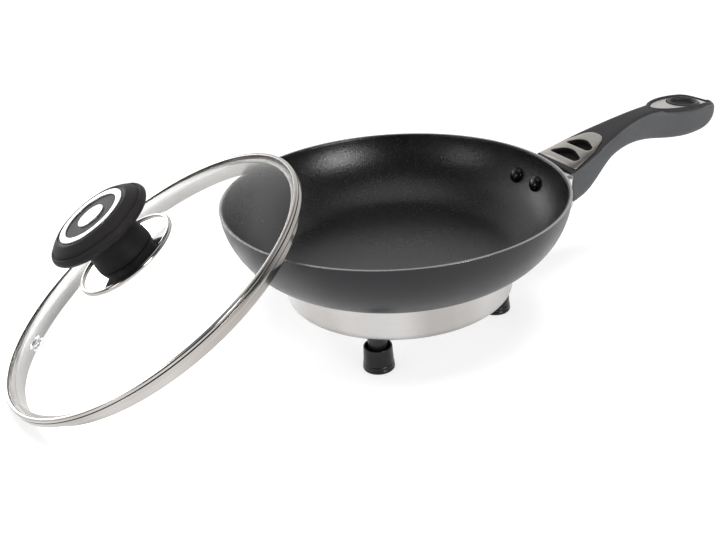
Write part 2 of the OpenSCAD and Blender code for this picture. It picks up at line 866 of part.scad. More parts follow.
module inlet_block() {
    color([0.88, 0.86, 0.8])
    at_inlet()
        difference() {
            translate([block_front, -block_w / 2, z_drum_floor])
                cube([block_depth, block_w, inlet_top - z_drum_floor]);
            at_pins() rod_x(pin_root_d + 2 * hole_gap, block_front - 1, inlet_back + 1);
            at_inlet_screws() rod(inlet_screw_d + 2 * hole_gap, z_drum, z_drum + inlet_screw_in + 1);
        }
}

module inlet_shroud() {
    color([0.12, 0.12, 0.12])
    at_inlet()
        difference() {
            translate([inlet_back, -inlet_w / 2, inlet_bottom])
                cube([drum_r + inlet_out - inlet_back, inlet_w, inlet_h]);
            translate([inlet_back + shroud_floor, -inlet_w / 2 + inlet_wall, inlet_bottom + inlet_wall])
                cube([drum_r, inlet_w - 2 * inlet_wall, inlet_h - 2 * inlet_wall]);
            at_pins() rod_x(pin_root_d + 2 * hole_gap, inlet_back - 1, inlet_back + shroud_floor + 1);
        }
}

module inlet_pins() {
    color([0.8, 0.78, 0.7])
    at_inlet() at_pins() {
        rod_x(pin_root_d, inlet_back - pin_in, inlet_back + shroud_floor);
        rod_x(pin_d, inlet_back + shroud_floor, drum_r + pin_out);
    }
}

module earth_clips() {
    color([0.8, 0.7, 0.4])
    at_inlet()
        for (side = [-1, 1])
            translate([inlet_back + shroud_floor,
                side * (inlet_w / 2 - inlet_wall - earth_t / 2) - earth_t / 2, z_element - inlet_h / 4])
                cube([earth_len, earth_t, inlet_h / 2]);
}

module inlet_screws() {
    color("silver")
    at_inlet() at_inlet_screws() {
        rod(inlet_screw_d, z_drum, z_drum + inlet_screw_in);
        rod(2 * inlet_screw_d, z_drum - inlet_screw_head_h, z_drum);
    }
}

// Feet

module foot_post(i) {
    color([0.2, 0.2, 0.21])
    at_foot(i)
        difference() {
            rod(post_d, z_ground + boot_floor, z_drum);
            rod(foot_screw_d + 2 * hole_gap, z_drum - foot_screw_len - 1, z_drum + 1);
        }
}

module foot_boot(i) {
    boot_top = z_ground + boot_h;
    color([0.06, 0.06, 0.06])
    at_foot(i)
        difference() {
            union() {
                rod(boot_d, z_ground, boot_top);
                rod(boot_d + 2 * boot_lip, z_ground, z_ground + boot_floor);
            }
            rod(post_d + hole_gap, z_ground + boot_floor, boot_top + 1);
            rod(boot_d - 2 * boot_wall, boot_top - boot_cup, boot_top + 1);
        }
}

module foot_screws() {
    color("silver")
    for (i = [0:2])
        at_foot(i) {
            rod(foot_screw_d, z_drum - foot_screw_len, z_drum_floor);
            rod(foot_screw_head_d, z_drum_floor, z_drum_floor + foot_screw_head_h);
        }
}

// Lid

module glass_section() {
    overlap = 0.6;
    intersection() {
        translate([0, dome_cz])
            difference() {
                circle(dome_sphere, $fn = 720);
                circle(dome_sphere - glass_t, $fn = 720);
            }
        translate([0, rim_under]) square([dome_r, dome_rise + glass_t + 1]);
    }
    translate([dome_r - overlap, rim_under])
        square([glass_r - dome_r + overlap, glass_t]);
}

module lid_glass() {
    color([0.85, 0.9, 0.9, 0.35])
    at_lid()
        difference() {
            rotate_extrude($fn = 144) glass_section();
            rod(lid_screw_d + 6 * hole_gap, 0, 2 * dome_h);
            at_vent() rod(vent_tube_d + 2 * hole_gap, -3 * glass_t, glass_t);
        }
}

// A channel around the glass with a lip for the rim, and a skirt that drops inside the pan
module band_section() {
    flange_x = lid_r - band_t - flange_w;
    lip_z = rim_under - seal_t - band_t;
    translate([flange_x, -band_t]) square([lid_r - band_edge - flange_x, band_t]);
    translate([lid_r - band_edge, -band_edge])
        intersection() {
            difference() {
                circle(band_edge, $fn = 32);
                circle(band_edge - band_t, $fn = 32);
            }
            square(band_edge);
        }
    translate([lid_r - band_t, lip_z]) square([band_t, -lip_z - band_edge]);
    translate([skirt_r - band_t, lip_z]) square([lid_r - skirt_r + band_t, band_t]);
    translate([skirt_r - band_t, -band_h]) square([band_t, band_h + lip_z + band_t]);
}

module lid_band() {
    color([0.8, 0.79, 0.77])
    at_lid() rotate_extrude($fn = 192) band_section();
}

module lid_seal() {
    color([0.8, 0.8, 0.8])
    at_lid() ring(skirt_r - band_t, lid_r - band_t - seat_gap, rim_under - seal_t, rim_under);
}

module vent_grommet() {
    color([0.85, 0.85, 0.84])
    at_lid() at_vent()
        difference() {
            union() {
                rod(vent_tube_d, -glass_t - seat_gap, seat_gap);
                rod(vent_d, seat_gap, seat_gap + vent_flange_t);
                rod(vent_d, -glass_t - seat_gap - vent_flange_t, -glass_t - seat_gap);
            }
            rod(vent_bore_d, -3 * glass_t, 2 * glass_t);
        }
}

// Bell of sheet metal: flat brim, hollow curve up to the knob, and a boss down to the glass
module ferrule_section() {
    sheet = 1.2;
    difference() {
        translate([0, ferrule_z]) square([ferrule_r, brim_h + ferrule_h]);
        translate([ferrule_curve_x, ferrule_z + brim_h + ferrule_curve_r]) circle(ferrule_curve_r);
        translate([ferrule_curve_x, ferrule_z + brim_h]) square([ferrule_r, 2 * ferrule_h]);
        translate([ferrule_boss_r, ferrule_z])
            square([waist_r - sheet - ferrule_boss_r, brim_h + ferrule_h - sheet]);
        translate([0, dome_cz]) circle(dome_sphere + seat_gap, $fn = 720);
    }
}

module lid_ferrule() {
    color([0.9, 0.9, 0.9])
    at_lid()
        difference() {
            rotate_extrude($fn = 144) ferrule_section();
            rod(lid_screw_d + 2 * hole_gap, 0, 2 * ferrule_top);
        }
}

module lid_screw() {
    color("silver")
    at_lid() {
        rod(lid_screw_d, washer_top - washer_t, lid_screw_top);
        rod(2 * lid_screw_head_r, washer_top - washer_t - lid_screw_head_h, washer_top - washer_t);
    }
}

module lid_washer() {
    color([0.75, 0.75, 0.75])
    at_lid() ring(lid_screw_d / 2 + hole_gap, washer_r, washer_top - washer_t, washer_top);
}

// Knob

module knob_stem() {
    color([0.19, 0.19, 0.2])
    at_lid()
        difference() {
            rotate_extrude($fn = 144)
                difference() {
                    translate([0, stem_z]) square([waist_r + stem_curve_r, stem_h]);
                    translate([waist_r + stem_curve_r, stem_z + stem_h / 3]) circle(stem_curve_r);
                    translate([waist_r + stem_flare, stem_z]) square([stem_curve_r, stem_h]);
                }
            rod(2 * insert_r + 2 * hole_gap, insert_z, insert_z + insert_len);
            rod(lid_screw_d + 4 * hole_gap, stem_z - 1, insert_z + 1);
        }
}

module cap_section() {
    shoulder = [cap_r - cap_round, cap_z + 3 * cap_edge];
    brow = [inlay_r + cap_round, cap_top];
    difference() {
        polygon([
            [0, cap_z], [cap_r - cap_under, cap_z], [cap_r - cap_round, cap_z + cap_edge],
            [cap_r, cap_z + 2 * cap_edge], shoulder, brow, [0, cap_top]
        ]);
        translate(shoulder + groove_share * (brow - shoulder)) circle(groove_r, $fn = 24);
    }
}

module knob_cap() {
    color([0.2, 0.2, 0.21])
    at_lid() rotate_extrude($fn = 144) cap_section();
}

module knob_inlay() {
    color([0.88, 0.88, 0.88])
    at_lid() {
        ring(inlay_r - inlay_ring_w, inlay_r, cap_top, cap_top + inlay_t);
        rod(2 * inlay_disc_r, cap_top, cap_top + inlay_t);
    }
}

module knob_insert() {
    color([0.8, 0.65, 0.3])
    at_lid() ring(lid_screw_d / 2 + 1.5 * hole_gap, insert_r, insert_z, insert_z + insert_len);
}

pan_body();
handle_rivets();
handle_bracket();
handle_collar();
handle_grip();
handle_screw();
trim_plate();
ring_plate();
hang_bush();
heater_drum();
heat_spreader();
heating_element();
element_clamp();
clamp_screws();
thermostat();
thermal_fuse();
link_wires();
insulation_pad();
heat_shield();
centre_stud();
stud_spacer();
stud_washer();
stud_nut();
inlet_block();
inlet_shroud();
inlet_pins();
earth_clips();
inlet_screws();
foot_post(0);  // foot_post_1
foot_post(1);  // foot_post_2
foot_post(2);  // foot_post_3
foot_boot(0);  // foot_boot_1
foot_boot(1);  // foot_boot_2
foot_boot(2);  // foot_boot_3
foot_screws();
lid_glass();
lid_band();
lid_seal();
vent_grommet();
lid_ferrule();
lid_screw();
lid_washer();
knob_stem();
knob_cap();
knob_inlay();
knob_insert();
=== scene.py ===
import bpy
import bmesh
import numpy as np
from mathutils import Matrix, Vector
from mathutils.geometry import delaunay_2d_cdt


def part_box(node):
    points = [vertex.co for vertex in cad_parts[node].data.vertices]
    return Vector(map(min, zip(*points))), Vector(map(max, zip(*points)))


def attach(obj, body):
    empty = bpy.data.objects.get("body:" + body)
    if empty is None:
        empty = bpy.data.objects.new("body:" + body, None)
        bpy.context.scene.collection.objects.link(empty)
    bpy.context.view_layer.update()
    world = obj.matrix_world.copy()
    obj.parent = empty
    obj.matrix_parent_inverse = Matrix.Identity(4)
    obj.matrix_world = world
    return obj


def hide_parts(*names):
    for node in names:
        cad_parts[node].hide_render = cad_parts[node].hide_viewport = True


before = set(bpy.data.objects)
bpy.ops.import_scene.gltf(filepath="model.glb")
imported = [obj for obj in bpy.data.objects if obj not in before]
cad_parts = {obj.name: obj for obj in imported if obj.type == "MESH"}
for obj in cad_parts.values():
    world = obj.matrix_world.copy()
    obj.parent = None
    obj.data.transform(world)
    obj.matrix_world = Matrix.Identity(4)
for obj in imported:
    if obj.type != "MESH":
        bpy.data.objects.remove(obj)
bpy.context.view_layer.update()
scene = bpy.context.scene
MM = 0.001
TURN = 2 * np.pi
CREASE = 32.0


def linked(name, data):
    """A new object that holds the data, in the scene."""
    obj = bpy.data.objects.new(name, data)
    scene.collection.objects.link(obj)
    return obj


def set_axes(obj, right, up, back, place):
    """The object takes three axes and a place in metres."""
    pose = np.eye(4)
    pose[:3] = np.stack([right, up, back, place], -1)
    obj.matrix_world = Matrix(pose.tolist())


# Camera, at the photograph's place
camera = linked("camera", bpy.data.cameras.new("camera"))
scene.camera = camera
camera.data.sensor_width = 36
camera.data.lens = 52.793
camera.data.clip_start = 0.01
set_axes(camera, right=(0.885576, -0.459602, -0.067233), up=(0.25965, 0.369801, 0.892093),
         back=(-0.385145, -0.807473, 0.446822), place=(-0.313268, -0.58969, 0.321697))
scene.view_settings.view_transform = "Standard"

# Sizes in millimetres, the same as the solids have
PAN_R, PAN_DEPTH, PAN_WALL, PAN_FLOOR, PAN_CURVE = 120.0, 50.0, 2.6, 4.0, 52.5
Z_UNDER = -PAN_FLOOR
Z_RIM = PAN_DEPTH - PAN_FLOOR
PAN_CZ = Z_UNDER + PAN_CURVE
PAN_CR = PAN_R - np.sqrt(PAN_CURVE ** 2 - (Z_RIM - PAN_CZ) ** 2)
DRUM_R, DRUM_H, DRUM_T, DRUM_EDGE, STAND = 79.5, 21.5, 0.8, 4.0, 27.0
SEAT_GAP = 0.1
Z_DRUM = Z_UNDER - DRUM_H
Z_GROUND = Z_DRUM - STAND
DRUM_TOP = PAN_CZ - np.sqrt(PAN_CURVE ** 2 - (DRUM_R - DRUM_T - PAN_CR) ** 2) - SEAT_GAP
INLET_AZ, INLET_W, INLET_H, Z_ELEMENT = 39.0, 36.0, 14.0, -11.0
FOOT_R, FOOT_ANGLES = 68.8, (-24.0, 102.0, -132.0)
GRIP_X0, GRIP_LEN = 131.4, 153.0
LID_R, SKIRT_R, BAND_H, BAND_T, GLASS_T, DOME_H = 120.2, 113.6, 14.0, 0.8, 4.0, 22.0
LEAN_AZ, LEAN_SHARE, LID_GAP = 168.3, 0.7447, 0.35


# Shape helpers

def smooth(a, b, u):
    """A step from 0 at a to 1 at b with level ends: t squared times three minus two t."""
    t = np.clip((np.asarray(u, float) - a) / (b - a), 0, 1)
    return t * t * (3 - 2 * t)


def arc(cx, cy, r, start, end, n):
    """Points on a circle about (cx, cy) from one angle to another, in degrees."""
    a = np.radians(np.linspace(start, end, n))
    return np.stack([cx + r * np.cos(a), cy + r * np.sin(a)], -1)


def ellipse(cx, cy, rx, ry, n):
    """Points on a whole ellipse about (cx, cy), anticlockwise."""
    a = np.linspace(0, TURN, n, endpoint=False)
    return np.stack([cx + rx * np.cos(a), cy + ry * np.sin(a)], -1)


def superellipse(a, power):
    """Reach of a rounded square's edge at an angle: its corners fill as the power grows."""
    return (np.abs(np.cos(a)) ** power + np.abs(np.sin(a)) ** power) ** (-1 / power)


def level(start, end, n, z):
    """A straight row of (radius, height) points at one height."""
    return np.stack([np.linspace(start, end, n), np.full(n, z)], -1)


def rounded(points, radii, n=6):
    """A polyline with rounded corners: the two tangent points at each are joined by a quadratic curve."""
    p = np.asarray(points, float)
    most = 0.49
    t = np.linspace(0, 1, n)[:, None]
    out = [p[:1]]
    for k in range(1, len(p) - 1):
        back, ahead = p[k - 1] - p[k], p[k + 1] - p[k]
        reach = min(radii[k], most * np.hypot(*back), most * np.hypot(*ahead))
        a = p[k] + back / np.hypot(*back) * reach
        b = p[k] + ahead / np.hypot(*ahead) * reach
        bend = (1 - t) ** 2 * a + 2 * t * (1 - t) * p[k] + t * t * b
        out.append(bend if reach > 1e-6 else p[k:k + 1])
    out.append(p[-1:])
    return np.concatenate(out)


class Seat:
    """A local frame: an origin and three axes, with the points of a piece given along them."""

    def __init__(self, origin, x, y, z):
        self.origin = np.asarray(origin, float)
        self.axes = np.array([x, y, z], float)

    def put(self, points):
        """Points of this frame as points of the part's frame."""
        return self.origin + points @ self.axes

    def tipped(self, place, angle):
        """A frame at a place of this one, tipped about its y axis so that z leans towards x."""
        x, y, z = self.axes
        c, s = np.cos(angle), np.sin(angle)
        return Seat(self.put(np.asarray(place, float)), x * c - z * s, y, x * s + z * c)


def turned_about(az):
    """The axes of a frame turned about the upright by an angle in degrees."""
    a = np.radians(az)
    return np.array([[np.cos(a), np.sin(a), 0], [-np.sin(a), np.cos(a), 0], [0, 0, 1.0]])


UPRIGHT = Seat((0, 0, 0), (1, 0, 0), (0, 1, 0), (0, 0, 1))


def lid_seat():
    """The lid's frame as it leans: x runs downhill, z along the knob, zero at the band's top."""
    tilt = np.arcsin((Z_RIM - Z_GROUND) / (SKIRT_R * (1 + LEAN_SHARE)))
    c, s = np.cos(tilt), np.sin(tilt)
    rest = np.sqrt((PAN_R + LID_GAP) ** 2 - SKIRT_R ** 2 * (1 - LEAN_SHARE ** 2))
    reach = BAND_H * s + SKIRT_R * LEAN_SHARE * c + rest
    height = Z_GROUND + LID_GAP + BAND_H * c + SKIRT_R * s
    return Seat((0, 0, 0), *turned_about(LEAN_AZ)).tipped((reach, 0, height), tilt)


LID = lid_seat()


def shade(mesh, sharp):
    """Smooth faces, with creases past an angle in degrees."""
    mesh.polygons.foreach_set("use_smooth", np.ones(len(mesh.polygons), bool))
    mesh.set_sharp_from_angle(angle=np.radians(sharp))


def piece(name, mesh, sharp):
    """The mesh gets its doubles merged and its faces shaded, and becomes an object at the origin."""
    bm = bmesh.new()
    bm.from_mesh(mesh)
    bmesh.ops.remove_doubles(bm, verts=bm.verts, dist=2e-6)
    bmesh.ops.dissolve_degenerate(bm, edges=bm.edges, dist=1e-7)
    bm.to_mesh(mesh)
    bm.free()
    shade(mesh, sharp)
    return linked(name, mesh)


def skin(name, grid, wrap=(False, True), rows=None, sharp=CREASE, flip=False, keep=None):
    """A grid of points becomes a mesh of quads, closed along the wrapped ways, with poles and seams merged.
    The map UV holds the distance along the rows in metres and the place across them as a share. Where rows is
    given, it says which material each row of quads has, and where keep is given, which quads are made."""
    nu, nv = grid.shape[:2]
    index = np.arange(nu * nv).reshape(nu, nv)
    if wrap[0]:
        index = np.vstack([index, index[:1]])
    if wrap[1]:
        index = np.hstack([index, index[:, :1]])
    quads = np.stack([index[:-1, :-1], index[1:, :-1], index[1:, 1:], index[:-1, 1:]], -1).reshape(-1, 4)
    across = index.shape[1] - 1
    step = np.linalg.norm(np.diff(grid, axis=0), axis=-1).mean(1) * MM
    along = np.concatenate([[0], np.cumsum(step), [step.sum() + MM]])
    iu, iv = np.meshgrid(np.arange(index.shape[0] - 1), np.arange(across), indexing="ij")
    ku = np.stack([iu, iu + 1, iu + 1, iu], -1).reshape(-1, 4)
    kv = np.stack([iv, iv, iv + 1, iv + 1], -1).reshape(-1, 4)
    if keep is not None:
        quads, ku, kv = quads[keep.ravel()], ku[keep.ravel()], kv[keep.ravel()]
    if flip:
        quads, ku, kv = quads[:, ::-1], ku[:, ::-1], kv[:, ::-1]
    mesh = bpy.data.meshes.new(name)
    mesh.vertices.add(nu * nv)
    mesh.vertices.foreach_set("co", (grid * MM).astype(np.float32).ravel())
    mesh.loops.add(quads.size)
    mesh.loops.foreach_set("vertex_index", quads.astype(np.int32).ravel())
    mesh.polygons.add(len(quads))
    mesh.polygons.foreach_set("loop_start", np.arange(0, quads.size, 4, dtype=np.int32))
    if rows is not None:
        mesh.polygons.foreach_set("material_index", np.repeat(np.asarray(rows, np.int32), across))
    mesh.update(calc_edges=True)
    uv = mesh.uv_layers.new(name="UV")
    uv.data.foreach_set("uv", np.stack([kv / across, along[ku]], -1).astype(np.float32).ravel())
    return piece(name, mesh, sharp)


def lathe(name, profile, seat=UPRIGHT, n=192, rows=None, closed=False, sharp=CREASE):
    """A profile of (radius, height) carried round the seat's z axis."""
    p = np.asarray(profile, float)
    a = np.linspace(0, TURN, n, endpoint=False)
    ring = np.stack([np.cos(a), np.sin(a), np.zeros(n)], -1)
    grid = p[:, None, :1] * ring + np.array([0, 0, 1.0]) * p[:, None, 1:]
    return skin(name, seat.put(grid), wrap=(closed, True), rows=rows, sharp=sharp)


def rod(r, low, high, seat, n=96):
    """A closed cylinder along the seat's z axis, to cut with."""
    return lathe("tool", [(0, low), (r, low), (r, high), (0, high)], seat, n)


def cut(obj, tools, sharp):
    """The closed tools are taken out of the piece, whose mesh becomes the result."""
    for tool in tools:
        m = obj.modifiers.new("cut", "BOOLEAN")
        m.operation, m.object, m.solver = "DIFFERENCE", tool, "EXACT"
    bpy.context.view_layer.update()
    mesh = bpy.data.meshes.new_from_object(obj.evaluated_get(bpy.context.evaluated_depsgraph_get()))
    obj.modifiers.clear()
    old = obj.data
    obj.data = mesh
    mesh.name = obj.name
    bpy.data.meshes.remove(old)
    for tool in tools:
        data = tool.data
        bpy.data.objects.remove(tool)
        bpy.data.meshes.remove(data)
    shade(mesh, sharp)
    return obj


def thicken(obj, thickness):
    """The surface becomes a sheet that grows inward from it."""
    sheet = obj.modifiers.new("thickness", "SOLIDIFY")
    sheet.thickness, sheet.offset = thickness * MM, -1


def soften(obj, width, segments):
    """Edges that turn by more than 50 degrees get a small bevel."""
    edge = obj.modifiers.new("edge", "BEVEL")
    edge.width, edge.segments = width * MM, segments
    edge.limit_method, edge.angle_limit = "ANGLE", np.radians(50)


def finished(obj, body, slot, materials, *nodes):
    """The piece takes its materials, rides its body and stands for its nodes."""
    for m in materials if isinstance(materials, (list, tuple)) else [materials]:
        obj.data.materials.append(m)
    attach(obj, body)
    if nodes:
        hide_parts(*nodes)
    return obj


# Material helpers

WHITE, BLACK = (1, 1, 1, 1), (0, 0, 0, 1)
TONE_RANGE, GLOSS_RANGE = (0.35, 0.65), (0.3, 0.7)


def add(tree, kind, inputs=None, **settings):
    """One shader node with its settings. Inputs are values, sockets, or nodes for their first output."""
    node = tree.nodes.new("ShaderNode" + kind)
    for key, value in settings.items():
        setattr(node, key, value)
    for key, value in (inputs or {}).items():
        socket = node.inputs[key]
        if isinstance(value, bpy.types.Node):
            value = value.outputs[0]
        if isinstance(value, bpy.types.NodeSocket):
            tree.links.new(value, socket)
        else:
            socket.default_value = value
    return node


def sums(tree, op, a, b):
    """Two values put together by a sum of the named kind."""
    return add(tree, "Math", {0: a, 1: b}, operation=op).outputs[0]


def span(tree, value, low, high, to_low=0.0, to_high=1.0):
    """A value carried from one range to another, held at the ends."""
    ends = {"From Min": low, "From Max": high, "To Min": to_low, "To Max": to_high}
    return add(tree, "MapRange", {"Value": value, **ends}).outputs[0]


def blend(tree, mask, a, b):
    """Colour a where the mask is 0 and b where it is 1."""
    return add(tree, "Mix", {"Factor": mask, 6: a, 7: b}, data_type="RGBA").outputs[2]


def coords(tree):
    """The piece's own coordinates."""
    return add(tree, "TexCoord").outputs["Object"]


def noise(tree, scale, at, detail=2.0):
    """Plain noise over the given coordinates."""
    return add(tree, "TexNoise", {"Vector": at, "Scale": scale, "Detail": detail}).outputs[0]


def group(name, ins, outs):
    """An empty shader node group with float inputs and outputs."""
    tree = bpy.data.node_groups.new(name, "ShaderNodeTree")
    for key, value in ins.items():
        socket = tree.interface.new_socket(key, in_out="INPUT", socket_type="NodeSocketFloat")
        socket.default_value = value
    for key in outs:
        tree.interface.new_socket(key, in_out="OUTPUT", socket_type="NodeSocketFloat")
    return tree, tree.nodes.new("NodeGroupInput").outputs, tree.nodes.new("NodeGroupOutput").inputs


def make_smudge():
    """Broad, faint unevenness of gloss, from two sizes of noise."""
    tree, given, out = group("handled_gloss", {"Scale": 25.0}, ["Value"])
    finer, big_share, fine_share = 9.0, 0.7, 0.3
    at = coords(tree)
    big = noise(tree, given["Scale"], at, detail=4.0)
    fine = noise(tree, sums(tree, "MULTIPLY", given["Scale"], finer), at)
    big, fine = sums(tree, "MULTIPLY", big, big_share), sums(tree, "MULTIPLY", fine, fine_share)
    tree.links.new(sums(tree, "ADD", big, fine), out["Value"])
    return tree


def make_grain():
    """Fine moulded grain: small rounded cells with noise over them."""
    tree, given, out = group("moulded_grain", {"Scale": 1400.0}, ["Height"])
    finer, fine_share = 1.6, 0.6
    at = coords(tree)
    cells = add(tree, "TexVoronoi", {"Vector": at, "Scale": given["Scale"]}, feature="SMOOTH_F1")
    fine = noise(tree, sums(tree, "MULTIPLY", given["Scale"], finer), at)
    fine = sums(tree, "MULTIPLY", fine, fine_share)
    tree.links.new(sums(tree, "ADD", cells.outputs["Distance"], fine), out["Height"])
    return tree


def make_fleck():
    """Paler flakes in a coating: cells of a mosaic picked by their own random value, with a fine relief."""
    tree, given, out = group("coating_fleck", {"Scale": 1500.0, "Share": 0.05}, ["Mask", "Height"])
    relief_scale, flake_edge, flake_middle = 1900.0, 0.45, 0.2
    at = coords(tree)
    cells = add(tree, "TexVoronoi", {"Vector": at, "Scale": given["Scale"]}).outputs
    chance = add(tree, "SeparateColor", {"Color": cells["Color"]}).outputs[0]
    picked = sums(tree, "LESS_THAN", chance, given["Share"])
    near = span(tree, cells["Distance"], flake_edge, flake_middle)
    tree.links.new(sums(tree, "MULTIPLY", picked, near), out["Mask"])
    tree.links.new(sums(tree, "ADD", cells["Distance"], noise(tree, relief_scale, at)), out["Height"])
    return tree


def make_lines():
    """Turned or brushed lines: noise that runs fast along the UV map's length and slowly through space."""
    tree, given, out = group("brushed_lines", {"Fine": 9000.0, "Wander": 12.0}, ["Value"])
    at = add(tree, "TexCoord").outputs
    along = add(tree, "SeparateXYZ", {"Vector": at["UV"]}).outputs[1]
    quick = sums(tree, "MULTIPLY", along, given["Fine"])
    inputs = {"Vector": at["Object"], "W": quick, "Scale": given["Wander"], "Detail": 3.0}
    lines = add(tree, "TexNoise", inputs, noise_dimensions="4D")
    tree.links.new(lines.outputs[0], out["Value"])
    return tree


def make_reflection_streaks():
    """Broad upright streaks for painted reflection on a wall: noise that nearly leaves out the height."""
    tree, given, out = group("painted_reflection_streaks", {"Scale": 16.0}, ["Value"])
    squash = (1.0, 1.0, 0.1)
    flat = add(tree, "VectorMath", {0: coords(tree), 1: squash}, operation="MULTIPLY").outputs[0]
    tree.links.new(noise(tree, given["Scale"], flat, detail=1.5), out["Value"])
    return tree


SMUDGE, GRAIN, FLECK, LINES, REFLECTION_STREAKS = make_smudge(), make_grain(), make_fleck(), make_lines(), make_reflection_streaks()


def use(tree, which, **inputs):
    """A shared group in a material, with its inputs set."""
    return add(tree, "Group", inputs, node_tree=which)


def material(name, **sockets):
    """A new material with its Principled shader's plain values set."""
    m = bpy.data.materials.new(name)
    m.use_nodes = True
    shader = m.node_tree.nodes["Principled BSDF"]
    for key, value in sockets.items():
        shader.inputs[key.replace("_", " ")].default_value = value
    return m, m.node_tree, shader


def tone(colour, times=1.0):
    """A colour for a socket, made lighter or darker by a factor and held at 1."""
    return (*(min(1, v * times) for v in colour), 1.0)


def roughen(tree, shader, value, rough, spread):
    """The shader's roughness wanders about its mean with a value."""
    wander = span(tree, value, *GLOSS_RANGE, max(0.01, rough - spread), rough + spread)
    tree.links.new(wander, shader.inputs["Roughness"])


def bump(tree, shader, height, strength, distance):
    """The shader's surface is raised by a height."""
    node = add(tree, "Bump", {"Height": height, "Strength": strength, "Distance": distance})
    tree.links.new(node.outputs[0], shader.inputs["Normal"])


def moulded(name, colour, rough, grain=1400.0, relief=0.12, specular=0.5):
    """Plastic or rubber with a fine grain and uneven gloss."""
    m, tree, shader = material(name, Specular_IOR_Level=specular)
    smudge = use(tree, SMUDGE, Scale=30.0)
    base = blend(tree, span(tree, smudge, *TONE_RANGE), tone(colour), tone(colour, 1.25))
    tree.links.new(base, shader.inputs["Base Color"])
    roughen(tree, shader, smudge, rough, spread=0.06)
    bump(tree, shader, use(tree, GRAIN, Scale=grain), relief, 0.0002)
    return m


def metal(name, colour, rough, fine=0.0, relief=0.05, spread=0.05, wander=12.0, contrast=0.12, reflection_streaks=0.0):
    """Bare metal with uneven gloss and, where given, brushed or turned lines, and broad upright streaks of
    painted reflection that lighten the colour towards white.
    """
    m, tree, shader = material(name, Metallic=1.0)
    mark = use(tree, LINES, Fine=fine, Wander=wander) if fine else use(tree, SMUDGE, Scale=35.0)
    base = blend(tree, span(tree, mark, *TONE_RANGE), tone(colour, 1 - contrast), tone(colour, 1 + contrast))
    if reflection_streaks:
        # painted reflection: upright streaks lighten the colour towards white, standing in for streaked
        # reflections
        streak_mask = span(tree, use(tree, REFLECTION_STREAKS), *TONE_RANGE)
        base = blend(tree, sums(tree, "MULTIPLY", streak_mask, reflection_streaks), base, WHITE)
    tree.links.new(base, shader.inputs["Base Color"])
    roughen(tree, shader, mark, rough, spread)
    bump(tree, shader, mark, relief, 0.0001)
    return m


def coated(name, colour, light, rough, share, relief, scale):
    """Non-stick coating: a dark satin film with a fine relief and scattered paler flakes."""
    m, tree, shader = material(name, Specular_IOR_Level=0.66)
    fleck = use(tree, FLECK, Scale=scale, Share=share).outputs
    smudge = use(tree, SMUDGE, Scale=22.0)
    base = blend(tree, span(tree, smudge, *TONE_RANGE), tone(colour), tone(colour, 1.2))
    tree.links.new(blend(tree, fleck["Mask"], base, tone(light)), shader.inputs["Base Color"])
    roughen(tree, shader, smudge, rough, spread=0.04)
    bump(tree, shader, fleck["Height"], relief, 0.0003)
    return m


def make_glass():
    """Clear tempered glass with a faint uneven gloss."""
    m, tree, shader = material("lid_glass_clear", Base_Color=(0.985, 0.988, 0.986, 1), IOR=1.16,
                               Transmission_Weight=1.0)
    smudge = use(tree, SMUDGE, Scale=18.0)
    tree.links.new(span(tree, smudge, 0.4, 0.8, 0.0, 0.02), shader.inputs["Roughness"])
    return m


PAN_INSIDE = coated("nonstick_inside", (0.005, 0.0048, 0.0054), light=(0.02, 0.0195, 0.0205), rough=0.29,
                    share=0.3, relief=0.3, scale=720.0)
PAN_OUTSIDE = moulded("pan_outside_coat", (0.0068, 0.0069, 0.0082), 0.36, grain=2600.0, relief=0.04,
                      specular=0.34)
PAN_RIM = metal("bare_rim", (0.36, 0.35, 0.335), 0.28)
RIVET = moulded("rivet_gloss", (0.002, 0.002, 0.002), 0.2, grain=500.0, relief=0.02)
GRIP_TOP = moulded("grip_soft_top", (0.021, 0.0195, 0.0205), 0.55, grain=1800.0, relief=0.2, specular=0.22)
GRIP_SIDE = moulded("grip_side", (0.057, 0.058, 0.061), 0.55, grain=1800.0, specular=0.25)
# near-black painted shade for the floors and walls of the grip's pockets
POCKET_SHADE = moulded("grip_pocket_shade", (0.004, 0.004, 0.004), 0.6, grain=1800.0, relief=0.1, specular=0.15)
TRIM = metal("trim_satin", (0.48, 0.455, 0.425), 0.3, relief=0.03)
BUSH = moulded("hang_bush_plastic", (0.02, 0.019, 0.019), 0.4, grain=1800.0, relief=0.06, specular=0.3)
COLLAR = metal("collar_satin", (0.72, 0.71, 0.69), 0.3, relief=0.03)
# painted reflection: the drum's lighter upright streaks
DRUM = metal("drum_brushed", (0.37, 0.355, 0.34), 0.34, fine=7000.0, relief=0.06, spread=0.08, wander=14.0,
             contrast=0.2, reflection_streaks=0.34)
BOOT = moulded("boot_rubber", (0.0025, 0.0025, 0.003), 0.24, grain=900.0, relief=0.05, specular=0.32)
POST = moulded("foot_post_plastic", (0.0065, 0.006, 0.0065), 0.4, grain=1500.0, relief=0.06, specular=0.4)
# painted reflection: the band's lighter upright streaks
BAND = metal("band_polished", (0.37, 0.347, 0.324), 0.13, fine=5000.0, relief=0.015, spread=0.04, wander=10.0,
             contrast=0.1, reflection_streaks=0.2)
# duller inside finish, darkened further as painted shade on the faces under the glass
BAND_INSIDE_SHADED = metal("band_inside_dull_shaded", (0.26, 0.243, 0.226), 0.3, fine=5000.0, relief=0.02, wander=10.0,
                    contrast=0.15)
